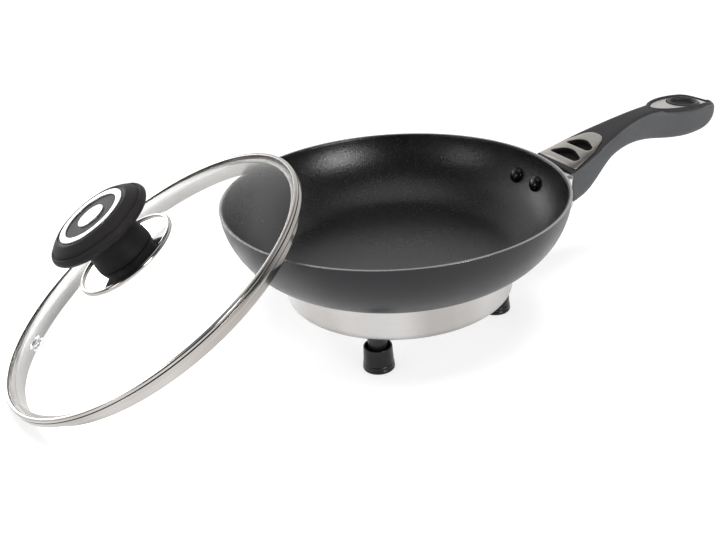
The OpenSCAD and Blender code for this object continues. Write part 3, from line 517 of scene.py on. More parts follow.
# painted shade: a near-black line for the flange's cut edge and the groove
BAND_SHADE_LINE = metal("band_painted_shade_line", (0.05, 0.048, 0.046), 0.4)
CHROME = metal("ferrule_mirror", (0.84, 0.84, 0.84), 0.035, relief=0.0, spread=0.015, contrast=0.03)
INLAY = metal("inlay_bright", (0.7, 0.7, 0.69), 0.36, relief=0.0, spread=0.03, contrast=0.05)
KNOB = moulded("knob_soft", (0.0125, 0.0115, 0.012), 0.55, grain=1700.0, relief=0.18, specular=0.12)
STEEL = metal("fastener_steel", (0.55, 0.55, 0.55), 0.3)
ALUMINIUM = metal("spreader_aluminium", (0.7, 0.7, 0.71), 0.4)
SHEATH = metal("element_sheath", (0.2, 0.18, 0.17), 0.5)
BRASS = metal("plain_brass", (0.66, 0.5, 0.24), 0.35)
STEATITE = moulded("steatite", (0.7, 0.68, 0.62), 0.6, grain=900.0, relief=0.1)
PAD = moulded("mineral_pad", (0.72, 0.7, 0.64), 0.9, grain=500.0, relief=0.6, specular=0.2)
PHENOLIC = moulded("phenolic", (0.09, 0.065, 0.05), 0.45)
SLEEVE = moulded("wire_sleeve", (0.45, 0.12, 0.09), 0.7, grain=1200.0, relief=0.4, specular=0.3)
SILICONE = moulded("seal_silicone", (0.2, 0.19, 0.18), 0.5, specular=0.3)
SHROUD = moulded("inlet_plastic", (0.014, 0.014, 0.0145), 0.45, grain=1500.0, relief=0.08)
GLASS = make_glass()


# Pan

def lifted(z, ease=1.6):
    """Heights bent to stay above nought: half the sum of z and the root of z squared plus ease squared."""
    return 0.5 * (z + np.sqrt(z * z + ease * ease))


def make_pan():
    """The pan's section carried round: underside, outer arc, rim and inner arc that eases into the floor."""
    bare, lip_r, inner_curve = 1.5, 0.5, PAN_CURVE - PAN_WALL
    start = np.degrees(np.arcsin((Z_RIM - PAN_CZ) / PAN_CURVE))
    lip_x = PAN_CR + np.sqrt(inner_curve ** 2 - (Z_RIM - PAN_CZ) ** 2) + lip_r
    under = level(0, PAN_CR, 8, Z_UNDER)
    outside = arc(PAN_CR, PAN_CZ, PAN_CURVE, -90, start - 0.5, 56)[1:]
    rim = rounded([outside[-1], (PAN_R, Z_RIM), (PAN_R - bare, Z_RIM), (lip_x, Z_RIM)],
                  (0, 0.45, 0, 0), 5)[1:]
    lip = arc(lip_x, Z_RIM - lip_r, lip_r, 90, 180, 6)[1:]
    inside = np.concatenate([lip, arc(PAN_CR, PAN_CZ, inner_curve, start - 0.8, -90, 72)])
    inside[:, 1] = lifted(inside[:, 1]) - lifted(Z_UNDER + PAN_WALL)
    floor = level(PAN_CR, 0, 24, 0.0)[1:]
    profile = np.concatenate([under, outside, rim, inside, floor])
    n_out = len(under) + len(outside) - 1
    rows = np.zeros(len(profile) - 1, int)
    rows[:n_out] = 1
    rows[n_out + 2:n_out + len(rim) - 1] = 2
    return lathe("pan_shell", profile, n=288, rows=rows, sharp=40)


finished(make_pan(), "skillet", "nonstick", [PAN_INSIDE, PAN_OUTSIDE, PAN_RIM], "pan_body")


def rivet_seats(drop=20.0, spacing=23.0, az=1.6):
    """Frames on the pan's wall, z outward along each rivet, zero on the outer face."""
    pitch = np.arcsin((PAN_CZ - (Z_RIM - drop)) / PAN_CURVE)
    plan = PAN_CR + PAN_CURVE * np.cos(pitch)
    half = np.degrees(np.arcsin(spacing / 2 / plan))
    for side in (-1, 1):
        away, across, up = turned_about(az + side * half)
        yield Seat(away * plan + up * (Z_RIM - drop), away * np.sin(pitch) + up * np.cos(pitch), across,
                   away * np.cos(pitch) - up * np.sin(pitch))


def make_rivets():
    """Domed heads inside the wall on straight shanks, upset to flat tails outside."""
    head_r, head_h, foot = 5.8, 3.6, -PAN_WALL - 0.55
    shank_r, tail_r, tail_low, tail_top = 2.5, 4.25, 2.2, 4.2
    a = np.linspace(0, 1, 20) * np.pi / 2
    head = np.stack([head_r * np.sin(a) ** 0.92, foot - head_h + head_h * (1 - np.cos(a) ** 1.25)], -1)
    rest = [(head_r - 0.05, foot + 0.25), (head_r - 0.6, foot + 0.55), (shank_r, foot + 0.55),
            (shank_r, tail_low), (tail_r, tail_low), (tail_r, tail_top - 0.3), (tail_r - 0.45, tail_top),
            (0, tail_top)]
    profile = np.concatenate([head, rest])
    return [lathe("rivet_%d" % (k + 1), profile, seat, 64) for k, seat in enumerate(rivet_seats())]


first_rivet, second_rivet = make_rivets()
finished(first_rivet, "skillet", "rivet_black", RIVET, "handle_rivets")
finished(second_rivet, "skillet", "rivet_black", RIVET)


# Grip

GRIP_PAN_H, GRIP_WAIST_H, GRIP_TAIL_H, GRIP_TIP_H = 29.4, 16.5, 25.8, 5.0
GRIP_PAN_W, GRIP_WAIST_W, GRIP_TAIL_W = 55, 19, 33
GRIP_DROP, RAMP, CREST, DROOP, RAMP_TO, CREST_AT = 10.0, 13.6, 10.0, 3.4, 0.29, 0.62
TOP_POWER, UNDER_POWER = 5.0, 3.0
THIN_AT, WAIST_AT, THIN_FROM, TIP_FROM = 0.30, 0.57, 0.75, 0.87


def grip_top(u):
    """Height of the grip's top line: a straight ramp, a climb with a level end, then a parabola down."""
    u = np.asarray(u, float)
    t = np.clip((u - RAMP_TO) / (CREST_AT - RAMP_TO), 0, 1)
    pull = RAMP / RAMP_TO * (CREST_AT - RAMP_TO)
    climb = (RAMP * (1 - 3 * t ** 2 + 2 * t ** 3) + pull * (t - 2 * t ** 2 + t ** 3)
             + (RAMP + CREST) * (3 * t ** 2 - 2 * t ** 3))
    fall = RAMP + CREST - DROOP * (np.maximum(0, u - CREST_AT) / (1 - CREST_AT)) ** 2
    line = np.where(u < RAMP_TO, RAMP * u / RAMP_TO, np.where(u < CREST_AT, climb, fall))
    return Z_RIM - GRIP_DROP + line


def grip_height(u):
    """Depth of the grip: two smooth steps, then a quarter ellipse that thins the tail."""
    t = np.clip((np.asarray(u, float) - THIN_FROM) / (1 - THIN_FROM), 0, 1)
    least = GRIP_TIP_H / GRIP_TAIL_H
    full = (GRIP_PAN_H + (GRIP_WAIST_H - GRIP_PAN_H) * smooth(0.085, THIN_AT, u)
            + (GRIP_TAIL_H - GRIP_WAIST_H) * smooth(THIN_AT, 0.735, u))
    return full * (least + (1 - least) * np.sqrt(1 - t * t))


def grip_half(u):
    """Half width of the grip: flared at the pan, narrow at the waist, wide at the tail."""
    width = (GRIP_PAN_W + (GRIP_WAIST_W - GRIP_PAN_W) * smooth(-0.04, WAIST_AT, u)
             + (GRIP_TAIL_W - GRIP_WAIST_W) * smooth(WAIST_AT, 0.80, u))
    return width / 2


def grip_tip(u):
    """Share by which the sections shrink into the rounded tip, a quarter ellipse."""
    t = np.maximum(0, np.asarray(u, float) - TIP_FROM) / (1 - TIP_FROM)
    return np.sqrt(np.clip(1 - t ** 2, 0, 1))


def grip_surface(x, y):
    """Height of the grip's top face over a point of the plan: the upper half of its rounded section."""
    u = (x - GRIP_X0) / GRIP_LEN
    half, high = np.maximum(grip_half(u) * grip_tip(u), 0.01), grip_height(u) / 2
    across = np.clip(np.abs(y) / half, 0, 0.995)
    return grip_top(u) - high + high * grip_tip(u) * (1 - across ** TOP_POWER) ** (1 / TOP_POWER)


HANG_SHARE = 0.82
HANG_X = GRIP_X0 + HANG_SHARE * GRIP_LEN
HANG_TILT = np.arctan(2 * DROOP * (HANG_SHARE - CREST_AT) / (1 - CREST_AT) ** 2 / GRIP_LEN)
HANG = UPRIGHT.tipped((HANG_X, 0, grip_top(HANG_SHARE)), HANG_TILT)
RING_X, RING_A, RING_B, RING_SINK, RING_GAP = HANG_X - 3.5, 26.6, 13.4, 1.0, 1.0
TRIM_X0, TRIM_W, TRIM_LEN, TRIM_GAP, TRIM_SINK = GRIP_X0 + 5.2, 44.0, 38.0, 0.55, 1.7
WINDOW_GAP, WINDOW_SINK, BLUNT_TIP, NARROW_TIP = 0.3, 4.0, 3.0, 1.2
BUSH_HOLE_R, SCREW_HOLE_R = 12.5, 4.7


def make_grip():
    """Sections carried along the handle: a superellipse, flatter above than below, with a rounded edge at the
    pan end."""
    n, stations, nearly_all, edge = 176, 170, 0.9995, 1.6
    t = np.linspace(0, 1, stations)
    u = nearly_all * (1 - (1 - t) ** 1.25)
    lead = np.linspace(0, np.pi / 2, 7)[:-1]
    u = np.concatenate([edge * (1 - np.cos(lead)) / GRIP_LEN, u[u > edge / GRIP_LEN]])
    inset = np.concatenate([edge * (1 - np.sin(lead)), np.zeros(len(u) - len(lead))])
    a = (np.arange(n) + 0.5) / n * TURN
    out = superellipse(a, np.where(np.sin(a) > 0, TOP_POWER, UNDER_POWER))
    half = grip_half(u) * grip_tip(u) - inset
    high = grip_height(u) / 2 * grip_tip(u) - inset
    grid = np.empty((len(u), n, 3))
    grid[..., 0] = (GRIP_X0 + GRIP_LEN * u)[:, None]
    grid[..., 1] = half[:, None] * out * np.cos(a)
    grid[..., 2] = (grip_top(u) - grip_height(u) / 2)[:, None] + high[:, None] * out * np.sin(a)
    first, last = [grid[k].mean(0) + 0 * grid[k:k + 1] for k in (0, len(u) - 1)]
    return skin("grip_shell", np.concatenate([first, grid, last]), sharp=40, flip=True)


def hull(points):
    """The convex outline of points, anticlockwise: the farthest point in each of many directions."""
    a = np.linspace(0, TURN, 1440, endpoint=False)
    far = np.argmax(points @ np.stack([np.cos(a), np.sin(a)]), axis=0)
    return points[far[far != np.roll(far, 1)]]


def within(p, outline):
    """Which points lie inside a convex outline."""
    a, b = outline, np.roll(outline, -1, 0)
    run, off = (b - a)[None], p[:, None] - a[None]
    return (run[..., 0] * off[..., 1] - run[..., 1] * off[..., 0] >= -1e-9).all(1)


def trim_outline(grow=0.0):
    """The trim plate's plan: the hull of six circles, as a closed list of points."""
    corner_r, side_r, end_r = 1.5, 12.0, 11.0
    spots = [(corner_r, TRIM_W / 2 - corner_r, corner_r), (TRIM_LEN * 0.47, TRIM_W * 0.40 - side_r, side_r),
             (TRIM_LEN - end_r, TRIM_W * 0.284 - end_r, end_r)]
    return hull(np.concatenate([ellipse(TRIM_X0 + x, side * y, r + grow, r + grow, 64)
                                for x, y, r in spots for side in (-1, 1)]))


def trim_window(k, grow=0.0):
    """A half moon: the hull of a blunt and a narrow tip circle and of an arc bowed towards the tail."""
    start, bow, width = ((5.4, 9.5, 31.0), (18.8, 9.0, 25.6))[k]
    bow_r = (width ** 2 / 4 + bow ** 2) / 2 / bow
    tips = [ellipse(r, side * (width / 2 - r), r + grow, r + grow, 32)
            for side, r in ((-1, BLUNT_TIP), (1, NARROW_TIP))]
    y = np.linspace(-0.96, 0.96, 33) * (width / 2 - NARROW_TIP)
    moon = np.stack([np.sqrt((bow_r + grow) ** 2 - y ** 2) - bow_r + bow, y], -1)
    return hull(np.concatenate(tips + [moon])) + [TRIM_X0 + start, 0]


def on_plate(p, margin):
    """Which points lie on the trim plate, at least a margin from its edges."""
    windows = within(p, trim_window(0, margin)) | within(p, trim_window(1, margin))
    return within(p, trim_outline(-margin)) & ~windows


def pocket(outline, sink, clear=20.0):
    """A closed tool over an outline: its floor lies at a depth under the grip's top face, its roof clear."""
    mid = outline.mean(0)
    plan = mid + np.linspace(0, 1, 9)[:, None, None] * (outline - mid)
    floor = grip_surface(plan[..., 0], plan[..., 1]) - sink
    low = np.concatenate([plan, floor[..., None]], -1)
    high = low[-1:] + [0, 0, clear]
    top = np.concatenate([mid, [low[..., 2].max() + clear]]) + 0 * high
    return skin("tool", np.concatenate([low, high, top]), flip=True)


def screw_seat():
    """An upright frame at the lower end of the handle screw."""
    low, high = np.array(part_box("handle_screw"))
    middle = (low + high) / 2 / MM
    return Seat((middle[0], middle[1], low[2] / MM), *UPRIGHT.axes)


def tone_grip(obj):
    """The grip is soft above its shoulder, its pockets are painted near black as shade and the rest has the
    side's finish.
    """
    shoulder, deep, upper, least_tip = 0.5, 0.12, 0.3, 0.05
    m = obj.data
    c = np.empty(len(m.polygons) * 3, np.float32)
    m.polygons.foreach_get("center", c)
    x, y, z = (c.reshape(-1, 3) / MM).T
    u = (x - GRIP_X0) / GRIP_LEN
    tip, high = np.maximum(grip_tip(u), least_tip), grip_height(u) / 2
    rise = (z - grip_top(u) + high) / (high * tip)
    wide = np.abs(y) / (grip_half(u) * tip)
    kind = np.where((rise > shoulder) & (rise > wide), 0, 1)
    by_trim = x < TRIM_X0 + TRIM_LEN + 1
    by_ring = np.hypot((x - RING_X) / (RING_A + 1.05), y / (RING_B + 1.05)) < 1
    sunk = (grip_surface(x, y) - z > deep) & (rise > upper) & (np.abs(y) < 0.93 * grip_half(u))
    # painted shade: sunk faces in the trim and ring pockets get the near-black pocket shade
    m.polygons.foreach_set("material_index", np.where(sunk & (by_trim | by_ring), 2, kind).astype(np.int32))


grip = cut(make_grip(), [
    pocket(trim_outline(TRIM_GAP), TRIM_SINK),
    pocket(trim_window(0, WINDOW_GAP), WINDOW_SINK),
    pocket(trim_window(1, WINDOW_GAP), WINDOW_SINK),
    pocket(ellipse(RING_X, 0, RING_A + RING_GAP, RING_B + RING_GAP, 128), RING_SINK + 1.1),
    rod(BUSH_HOLE_R, -60, 30, HANG),
    rod(SCREW_HOLE_R, -60, 2.6, screw_seat())], 40)
tone_grip(grip)
finished(grip, "skillet", "soft_touch", [GRIP_TOP, GRIP_SIDE, POCKET_SHADE], "handle_grip")


def make_trim():
    """A plate over the trim outline with its two windows left open, laid on the grip's top face."""
    pitch, margin, proud, thickness = 1.5, 0.8, 0.35, 2.0
    rims = [trim_outline(), trim_window(0), trim_window(1)]
    sizes = [len(r) for r in rims]
    starts = np.cumsum([0] + sizes[:-1])
    edges = np.concatenate([s + np.stack([np.arange(n), np.roll(np.arange(n), -1)], -1)
                            for s, n in zip(starts, sizes)])
    gx, gy = np.meshgrid(np.arange(TRIM_X0 + margin, TRIM_X0 + TRIM_LEN, pitch), np.arange(-21, 21.5, pitch),
                         indexing="ij")
    inner = np.stack([gx.ravel(), gy.ravel()], -1)
    inner = inner[on_plate(inner, margin)]
    corners = np.concatenate(rims + [inner]).tolist()
    points, _, faces, *_ = delaunay_2d_cdt(corners, edges.tolist(), [], 0, 1e-6)
    plan, f = np.array(points), np.array(faces)
    f = f[on_plate(plan[f].mean(1), 0.0)]
    q = plan[f]
    ab, ac = q[:, 1] - q[:, 0], q[:, 2] - q[:, 0]
    turned = ab[:, 0] * ac[:, 1] < ab[:, 1] * ac[:, 0]
    f[turned] = f[turned][:, ::-1]
    top = grip_surface(plan[:, 0], plan[:, 1]) + proud
    mesh = bpy.data.meshes.new("trim_plate_satin")
    mesh.from_pydata((np.concatenate([plan, top[:, None]], -1) * MM).tolist(), [], f.tolist())
    obj = piece("trim_plate_satin", mesh, 30)
    thicken(obj, thickness)
    soften(obj, 0.4, 3)
    return obj


finished(make_trim(), "skillet", "trim_metal", TRIM, "trim_plate")


def make_ring_lip():
    """A rounded bead carried round an ellipse on the grip's tail, level with the crown along its length."""
    n, half_w, half_h, sink = 200, 1.5, 1.6, 1.3
    ra, rb = RING_A + 1.9, RING_B + 1.7
    b = np.linspace(0, TURN, 24, endpoint=False)
    path, away = ellipse(RING_X, 0, ra, rb, n), ellipse(0, 0, rb, ra, n)
    away = away / np.linalg.norm(away, axis=-1, keepdims=True)
    grid = np.empty((len(b), n, 3))
    grid[..., :2] = path + half_w * np.cos(b)[:, None, None] * away
    grid[..., 2] = grip_surface(path[:, 0], 0) - sink + half_h * np.sin(b)[:, None]
    return skin("ring_lip_bead", grid, wrap=(True, True), flip=True)


def make_ring_plate():
    """A thin plate with rounded edges from the bush to an ellipse, level across the grip, below its crown."""
    n, inner_r, edge_share, edge_h, middle = 160, 12.7, 0.03, 0.3, 10
    inner, outer = ellipse(HANG_X, 0, inner_r, inner_r, n), ellipse(RING_X, 0, RING_A, RING_B, n)
    turn = np.linspace(0, np.pi / 2, 5)
    share = np.concatenate([[0, 0], edge_share * (1 - np.cos(turn)), np.linspace(0.05, 0.95, middle),
                            1 - edge_share * (1 - np.sin(turn)), [1, 1]])
    lift = np.concatenate([[-1.0, -0.4], -edge_h + edge_h * np.sin(turn), np.zeros(middle),
                           -edge_h + edge_h * np.cos(turn), [-0.4, -1.0]])
    plan = inner + share[:, None, None] * (outer - inner)
    z = grip_surface(plan[..., 0], 0) - RING_SINK + lift[:, None]
    return skin("ring_plate_satin", np.concatenate([plan, z[..., None]], -1), wrap=(True, True), sharp=40)


finished(make_ring_lip(), "skillet", "soft_touch", GRIP_TOP)
finished(make_ring_plate(), "skillet", "trim_metal", TRIM, "ring_plate")


def make_bush():
    """A tube with a rounded raised lip, carried round the hang hole's tilted axis."""
    bore, outer, low = 8.2, 12.3, -21.4
    profile = rounded([(bore, low), (bore, -4.0), (9.9, -0.4), (11.2, -0.1), (outer, -0.9), (outer, low),
                       (bore, low)], (0, 2.0, 0.6, 0.6, 0.6, 0.6, 0))
    return lathe("hang_hole_bush", profile, HANG, 128, sharp=50)


finished(make_bush(), "skillet", "black_plastic", BUSH, "hang_bush")


def make_collar():
    """A rounded rectangular sleeve: each point of the section runs straight along the handle, from the place
    where it meets the pan's curved wall to the grip."""
    n, half, high, mid, power, into_grip, sheet = 144, 26.1, 13.3, 21.3, 12, 1.2, 1.4
    a = (np.arange(n) + 0.5) / n * TURN
    out = superellipse(a, power)
    y, z = half * out * np.cos(a), mid + high * out * np.sin(a)
    pan = PAN_CR + np.sqrt(PAN_CURVE ** 2 - (z - PAN_CZ) ** 2)
    wall = np.sqrt(pan ** 2 - y ** 2) + SEAT_GAP
    t = np.linspace(0, 1, 16)[:, None]
    grid = np.stack([wall * (1 - t) + (GRIP_X0 + into_grip) * t, y + 0 * t, z + 0 * t], -1)
    obj = skin("collar_sleeve", grid, sharp=50, flip=True)
    thicken(obj, sheet)
    return obj


finished(make_collar(), "skillet", "collar_steel", COLLAR, "handle_collar")


# Heater drum and feet

def make_drum():
    """A sheet cup: floor round the stud's hole, rounded edge and straight wall, less the inlet's notch."""
    hole_r, slack, in_notch, beside = 3.2, 0.2, 20, 240
    low = Z_ELEMENT - INLET_H / 2 - slack
    floor = level(hole_r, DRUM_R - DRUM_EDGE, 20, Z_DRUM)
    edge = arc(DRUM_R - DRUM_EDGE, Z_DRUM + DRUM_EDGE, DRUM_EDGE, -90, 0, 10)[1:]
    z = np.concatenate([np.linspace(Z_DRUM + DRUM_EDGE, low, 4)[1:], np.linspace(low, DRUM_TOP, 16)[1:]])
    profile = np.concatenate([floor, edge, np.stack([DRUM_R + 0 * z, z], -1)])
    half = np.degrees(np.arcsin((INLET_W / 2 + slack) / DRUM_R))
    start, end = INLET_AZ - half, INLET_AZ + half
    rest = np.linspace(end, start + 360, beside)[1:-1]
    a = np.radians(np.concatenate([np.linspace(start, end, in_notch), rest]))
    r, z = profile[:, None, 0], profile[:, None, 1]
    grid = np.stack([r * np.cos(a), r * np.sin(a), z + 0 * a], -1)
    keep = np.ones((len(profile) - 1, len(a)), bool)
    keep[np.ix_(profile[1:, 1] > low + 0.1, np.arange(len(a)) < in_notch - 1)] = False
    obj = skin("drum_cup", grid, sharp=50, keep=keep)
    thicken(obj, DRUM_T)
    return obj


finished(make_drum(), "skillet", "drum_steel", DRUM, "heater_drum")


def foot_seat(k):
    """An upright frame on the ground under a foot, turned to face outward."""
    axes = turned_about(FOOT_ANGLES[k])
    return Seat(axes[0] * FOOT_R + [0, 0, Z_GROUND], *axes)


def post_profile():
    """A straight post with a rounded shoulder under the drum."""
    low, r, shoulder = 4.05, 6.6, 7.1
    return rounded([(0, low), (r, low), (r, STAND - 1.2), (shoulder, STAND - 1.0), (shoulder, STAND),
                    (0, STAND)], (0, 0.5, 0.4, 0.3, 0.2, 0), 4)


def boot_profile():
    """A cup of rubber: flared lip at the ground, two shallow rings, a side that narrows a little and a thin
    rolled mouth with a recess round the post."""
    mouth, bore, step, floor = 8.5, 6.7, 11.6, 4.0
    return rounded([(0, 0), (9.7, 0), (10.8, 0.9), (10.8, 2.6), (10.5, 3.1), (10.6, 3.6), (10.6, 5.0),
                    (10.25, 5.5), (10.3, 6.0), (9.75, 16.4), (9.6, 17.5), (8.9, 17.6), (mouth, 17.2),
                    (mouth, step), (bore, step), (bore, floor), (0, floor)],
                   (0, 0.8, 0.7, 0.5, 0.2, 0.3, 0.5, 0.2, 0.3, 0.6, 0.4, 0.3, 0.3, 0.6, 0.2, 0.2, 0), 5)


for k in range(3):
    post = lathe("foot_post_turned_%d" % (k + 1), post_profile(), foot_seat(k), 64, sharp=45)
    finished(post, "skillet", "black_plastic", POST, "foot_post_%d" % (k + 1))
    boot = lathe("foot_boot_turned_%d" % (k + 1), boot_profile(), foot_seat(k), 96, sharp=50)
    finished(boot, "skillet", "boot_rubber", BOOT, "foot_boot_%d" % (k + 1))


# Lid

RIM_TOP = -BAND_T - 0.1
RIM_UNDER = RIM_TOP - GLASS_T
DOME_R = LID_R - 4.5
DOME_RISE = DOME_H - RIM_TOP
SPHERE = (DOME_R ** 2 + DOME_RISE ** 2) / 2 / DOME_RISE
DOME_CZ = DOME_H - SPHERE
VENT_R, VENT_HOLE_R = 85.0, 4.2
VENT_TILT = np.arcsin(VENT_R / SPHERE)
VENT = LID.tipped((SPHERE * np.sin(VENT_TILT), 0, DOME_CZ + SPHERE * np.cos(VENT_TILT)), VENT_TILT)


def dome(r, off=0.0):
    """Height of the dome's upper sphere, moved inward by an offset."""
    return DOME_CZ + np.sqrt((SPHERE - off) ** 2 - np.asarray(r, float) ** 2)


def make_lid_glass():
    """Two spheres a glass thickness apart, run into a flat rim and closed there and at the screw hole."""
    hole_r, out_r, bend_r, n = 3.1, LID_R - 1.3, DOME_R - 8, 48
    r = np.linspace(hole_r, DOME_R - 2.5, n)
    upper = np.stack([r, dome(r)], -1)
    edge = rounded([upper[-1], (DOME_R - 0.1, RIM_TOP), (out_r, RIM_TOP), (out_r, RIM_UNDER),
                    (DOME_R - 1.3, RIM_UNDER), (bend_r, dome(bend_r, GLASS_T))],
                   (0, 2.0, 0.4, 0.4, 4.0, 0))[1:]
    r = np.linspace(bend_r, hole_r, n)[1:]
    lower = np.stack([r, dome(r, GLASS_T)], -1)
    obj = lathe("lid_dome_glass", np.concatenate([upper, edge, lower]), LID, 240, closed=True, sharp=50)
    return cut(obj, [rod(VENT_HOLE_R, -12, 8, VENT, 48)], 50)


glass = finished(make_lid_glass(), "lid", "lid_glass", GLASS, "lid_glass")
glass.visible_shadow = False


def make_band():
    """Sheet band: flange on the glass, rolled edge, wall with a fine groove, lip for the rim, then the inner
    skirt. The faces that look at the glass have a duller finish and are darkened with painted shade, and the
    flange's cut edge and the groove get a near-black painted shade line."""
    flange, lip, groove = LID_R - BAND_T - 2.0, RIM_UNDER - 1.5, LID_R - 0.4
    wall_in, skirt_in = LID_R - BAND_T, SKIRT_R - BAND_T
    outline = [(flange, -BAND_T), (flange, -0.1), (flange + 0.6, 0), (LID_R, 0), (LID_R, -1.9),
               (groove, -2.15), (groove, -2.55), (LID_R, -2.8), (LID_R, lip + 0.6), (LID_R - 0.6, lip),
               (SKIRT_R + 0.3, lip), (SKIRT_R, lip - 0.6), (SKIRT_R, -BAND_H + 0.4), (SKIRT_R - 0.4, -BAND_H),
               (skirt_in, -BAND_H + 0.1), (skirt_in, lip + BAND_T), (wall_in, lip + BAND_T),
               (wall_in, -BAND_T), (flange, -BAND_T)]
    radii = (0, 0.05, 0.1, 1.3, 0.1, 0.1, 0.1, 0.1, 0.6, 0.5, 0.5, 0.6, 0.4, 0.4, 0.3, 0.2, 0.2, 0.4, 0)
    profile = rounded(outline, radii)
    r, z = ((profile[1:] + profile[:-1]) / 2).T
    by_glass = (r < wall_in + 0.05) & (r > SKIRT_R) & (z > lip + 0.1) & (z < -0.2)
    # faces under the glass and inside the skirt: duller finish plus painted shade
    dull_shaded = (r < skirt_in + 0.2) | by_glass
    in_groove = (r > groove - 0.05) & (z > -2.7) & (z < -2.0)
    # painted shade line on the flange's cut edge and in the groove
    line = ((r < flange + 0.55) & (z > -BAND_T + 0.01)) | in_groove
    rows = np.where(line, 2, np.where(dull_shaded, 1, 0))
    return lathe("lid_band_rolled", profile, LID, 288, rows=rows, sharp=45)


finished(make_band(), "lid", "band_steel", [BAND, BAND_INSIDE_SHADED, BAND_SHADE_LINE], "lid_band")


def make_grommet():
    """A rolled eyelet: tube through the glass with a rounded flange on each face."""
    bore, r, lip, back = 2.75, 4.0, 5.25, -GLASS_T
    profile = rounded([(bore, back - 0.9), (bore, 0.9), (lip - 1.4, 1.25), (lip, 0.5), (lip - 0.4, 0.1),
                       (r, 0.1), (r, back - 0.1), (lip - 0.4, back - 0.1), (lip, back - 0.5),
                       (lip - 1.4, back - 1.1), (bore, back - 0.9)],
                      (0, 0.9, 0.8, 0.5, 0.2, 0.1, 0.1, 0.2, 0.5, 0.6, 0))
    return lathe("vent_eyelet", profile, VENT, 64, sharp=50)


finished(make_grommet(), "lid", "band_steel", CHROME, "vent_grommet")


# Knob

FERRULE_R, BRIM_H, FERRULE_H = 37.0, 1.5, 7.3
FERRULE_Z = float(dome(FERRULE_R)) + SEAT_GAP
FERRULE_TOP = FERRULE_Z + BRIM_H + FERRULE_H
STEM_Z, STEM_H, WAIST_R, CAP_H = FERRULE_TOP + SEAT_GAP, 14.8, 19.5, 12.9
CAP_Z = STEM_Z + STEM_H
CAP_TOP = CAP_Z + CAP_H


def make_dish():
    """A spun dish: level middle, a low slope out to a fine groove, a rolled bead at its edge, closed
    underneath by the dome's own curve."""
    z, bead_x, bead_r = FERRULE_Z, 35.3, 1.65
    plate = rounded([(0, z + 3.2), (20.0, z + 3.2), (33.2, z + 2.0), (33.6, z + 1.5)], (0, 4.0, 0.3, 0), 8)
    bead = arc(bead_x, z + bead_r, bead_r, 175, -90, 28)
    r = np.linspace(FERRULE_R - 1.9, 0, 20)
    under = np.stack([r, dome(r) + 0.12], -1)
    rows = np.zeros(len(plate) + len(bead) + len(under) - 1, int)
    rows[len(plate):len(plate) + len(bead)] = 1
    return lathe("knob_dish", np.concatenate([plate, bead, under]), LID, rows=rows, sharp=40)


finished(make_dish(), "lid", "knob_chrome", [CHROME, BAND], "lid_ferrule")


def stem_profile():
    """A waist: the hollow side is an arc between the dish and the cap, and below it a short straight foot."""
    hollow_r, low = 14.0, FERRULE_Z + 3.3
    start = 180 + np.degrees(np.arcsin(STEM_H / 3 / hollow_r))
    end = 180 - np.degrees(np.arcsin(STEM_H * 2 / 3 / hollow_r))
    side = arc(WAIST_R + hollow_r, STEM_Z + STEM_H / 3, hollow_r, start, end, 28)
    return np.concatenate([[(0, low), (side[0, 0] + 0.3, low)], side, [(0, CAP_Z)]])


finished(lathe("knob_waist", stem_profile(), LID, 160, sharp=50), "knob", "soft_touch", KNOB, "knob_stem")


def make_cap():
    """A mushroom: flat underside, full rounded edge, low crown with a groove near its edge and a recess."""
    z, recess = CAP_Z, CAP_Z + 12.4
    profile = [(0, z), (30.5, z), (35.2, z + 1.0), (37.55, z + 4.4), (36.7, z + 7.0), (35.6, z + 7.9),
               (34.6, z + 6.9), (33.9, z + 7.3), (33.4, z + 9.6), (28.2, z + 12.7), (27.0, z + 12.9),
               (26.9, recess), (0, recess)]
    radii = (0, 3.0, 2.6, 2.4, 0.8, 0.5, 0.3, 0.4, 0.9, 1.2, 0.25, 0.1, 0)
    return lathe("knob_cap_crown", rounded(profile, radii, 7), LID, sharp=40)


finished(make_cap(), "knob", "soft_touch", KNOB, "knob_cap")


def make_inlay(name, inner, outer):
    """A low ring, or a disc where the inner radius is nothing, with rounded edges."""
    low, high = CAP_TOP - 0.7, CAP_TOP + 0.35
    if inner:
        corners = [(inner, low), (inner, high), (outer, high), (outer, low), (inner, low)]
        profile = rounded(corners, (0, 0.5, 0.5, 0, 0))
    else:
        profile = rounded([(0, low), (outer, low), (outer, high), (0, high + 0.05)], (0, 0, 0.6, 0))
    return lathe(name, profile, LID, 160, sharp=40)


finished(make_inlay("inlay_ring", 20.1, 24.8), "knob", "knob_chrome", INLAY, "knob_inlay")
finished(make_inlay("inlay_disc", 0, 10.0), "knob", "knob_chrome", INLAY)

# Solids that stay get their own finish
KEPT = {
    STEEL: ("handle_bracket", "handle_screw", "element_clamp", "clamp_screws", "centre_stud", "stud_spacer",
            "stud_washer", "stud_nut", "inlet_pins", "inlet_screws", "foot_screws", "lid_screw",
            "lid_washer"),
    ALUMINIUM: ("heat_spreader", "heat_shield"),
    SHEATH: ("heating_element",),
    PHENOLIC: ("thermostat",),
    STEATITE: ("thermal_fuse", "inlet_block"),
    SLEEVE: ("link_wires",),
    PAD: ("insulation_pad",),
    SHROUD: ("inlet_shroud",),
    BRASS: ("earth_clips", "knob_insert"),
    SILICONE: ("lid_seal",)}
for finish, names in KEPT.items():
    for name in names:
        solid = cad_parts[name]
        solid.data.materials.clear()
        solid.data.materials.append(finish)
        solid.modifiers.new("joined", "WELD").merge_threshold = 0.01 * MM
        soften(solid, 0.3, 2)


# Studio

VIEW_AZ = -25.5


def studio(x, y, z):
    """A place given across, away from and above the photograph's view, in metres, in the part's frame."""
    a = np.radians(VIEW_AZ)
    return np.array([x * np.cos(a) - y * np.sin(a), x * np.sin(a) + y * np.cos(a), z])


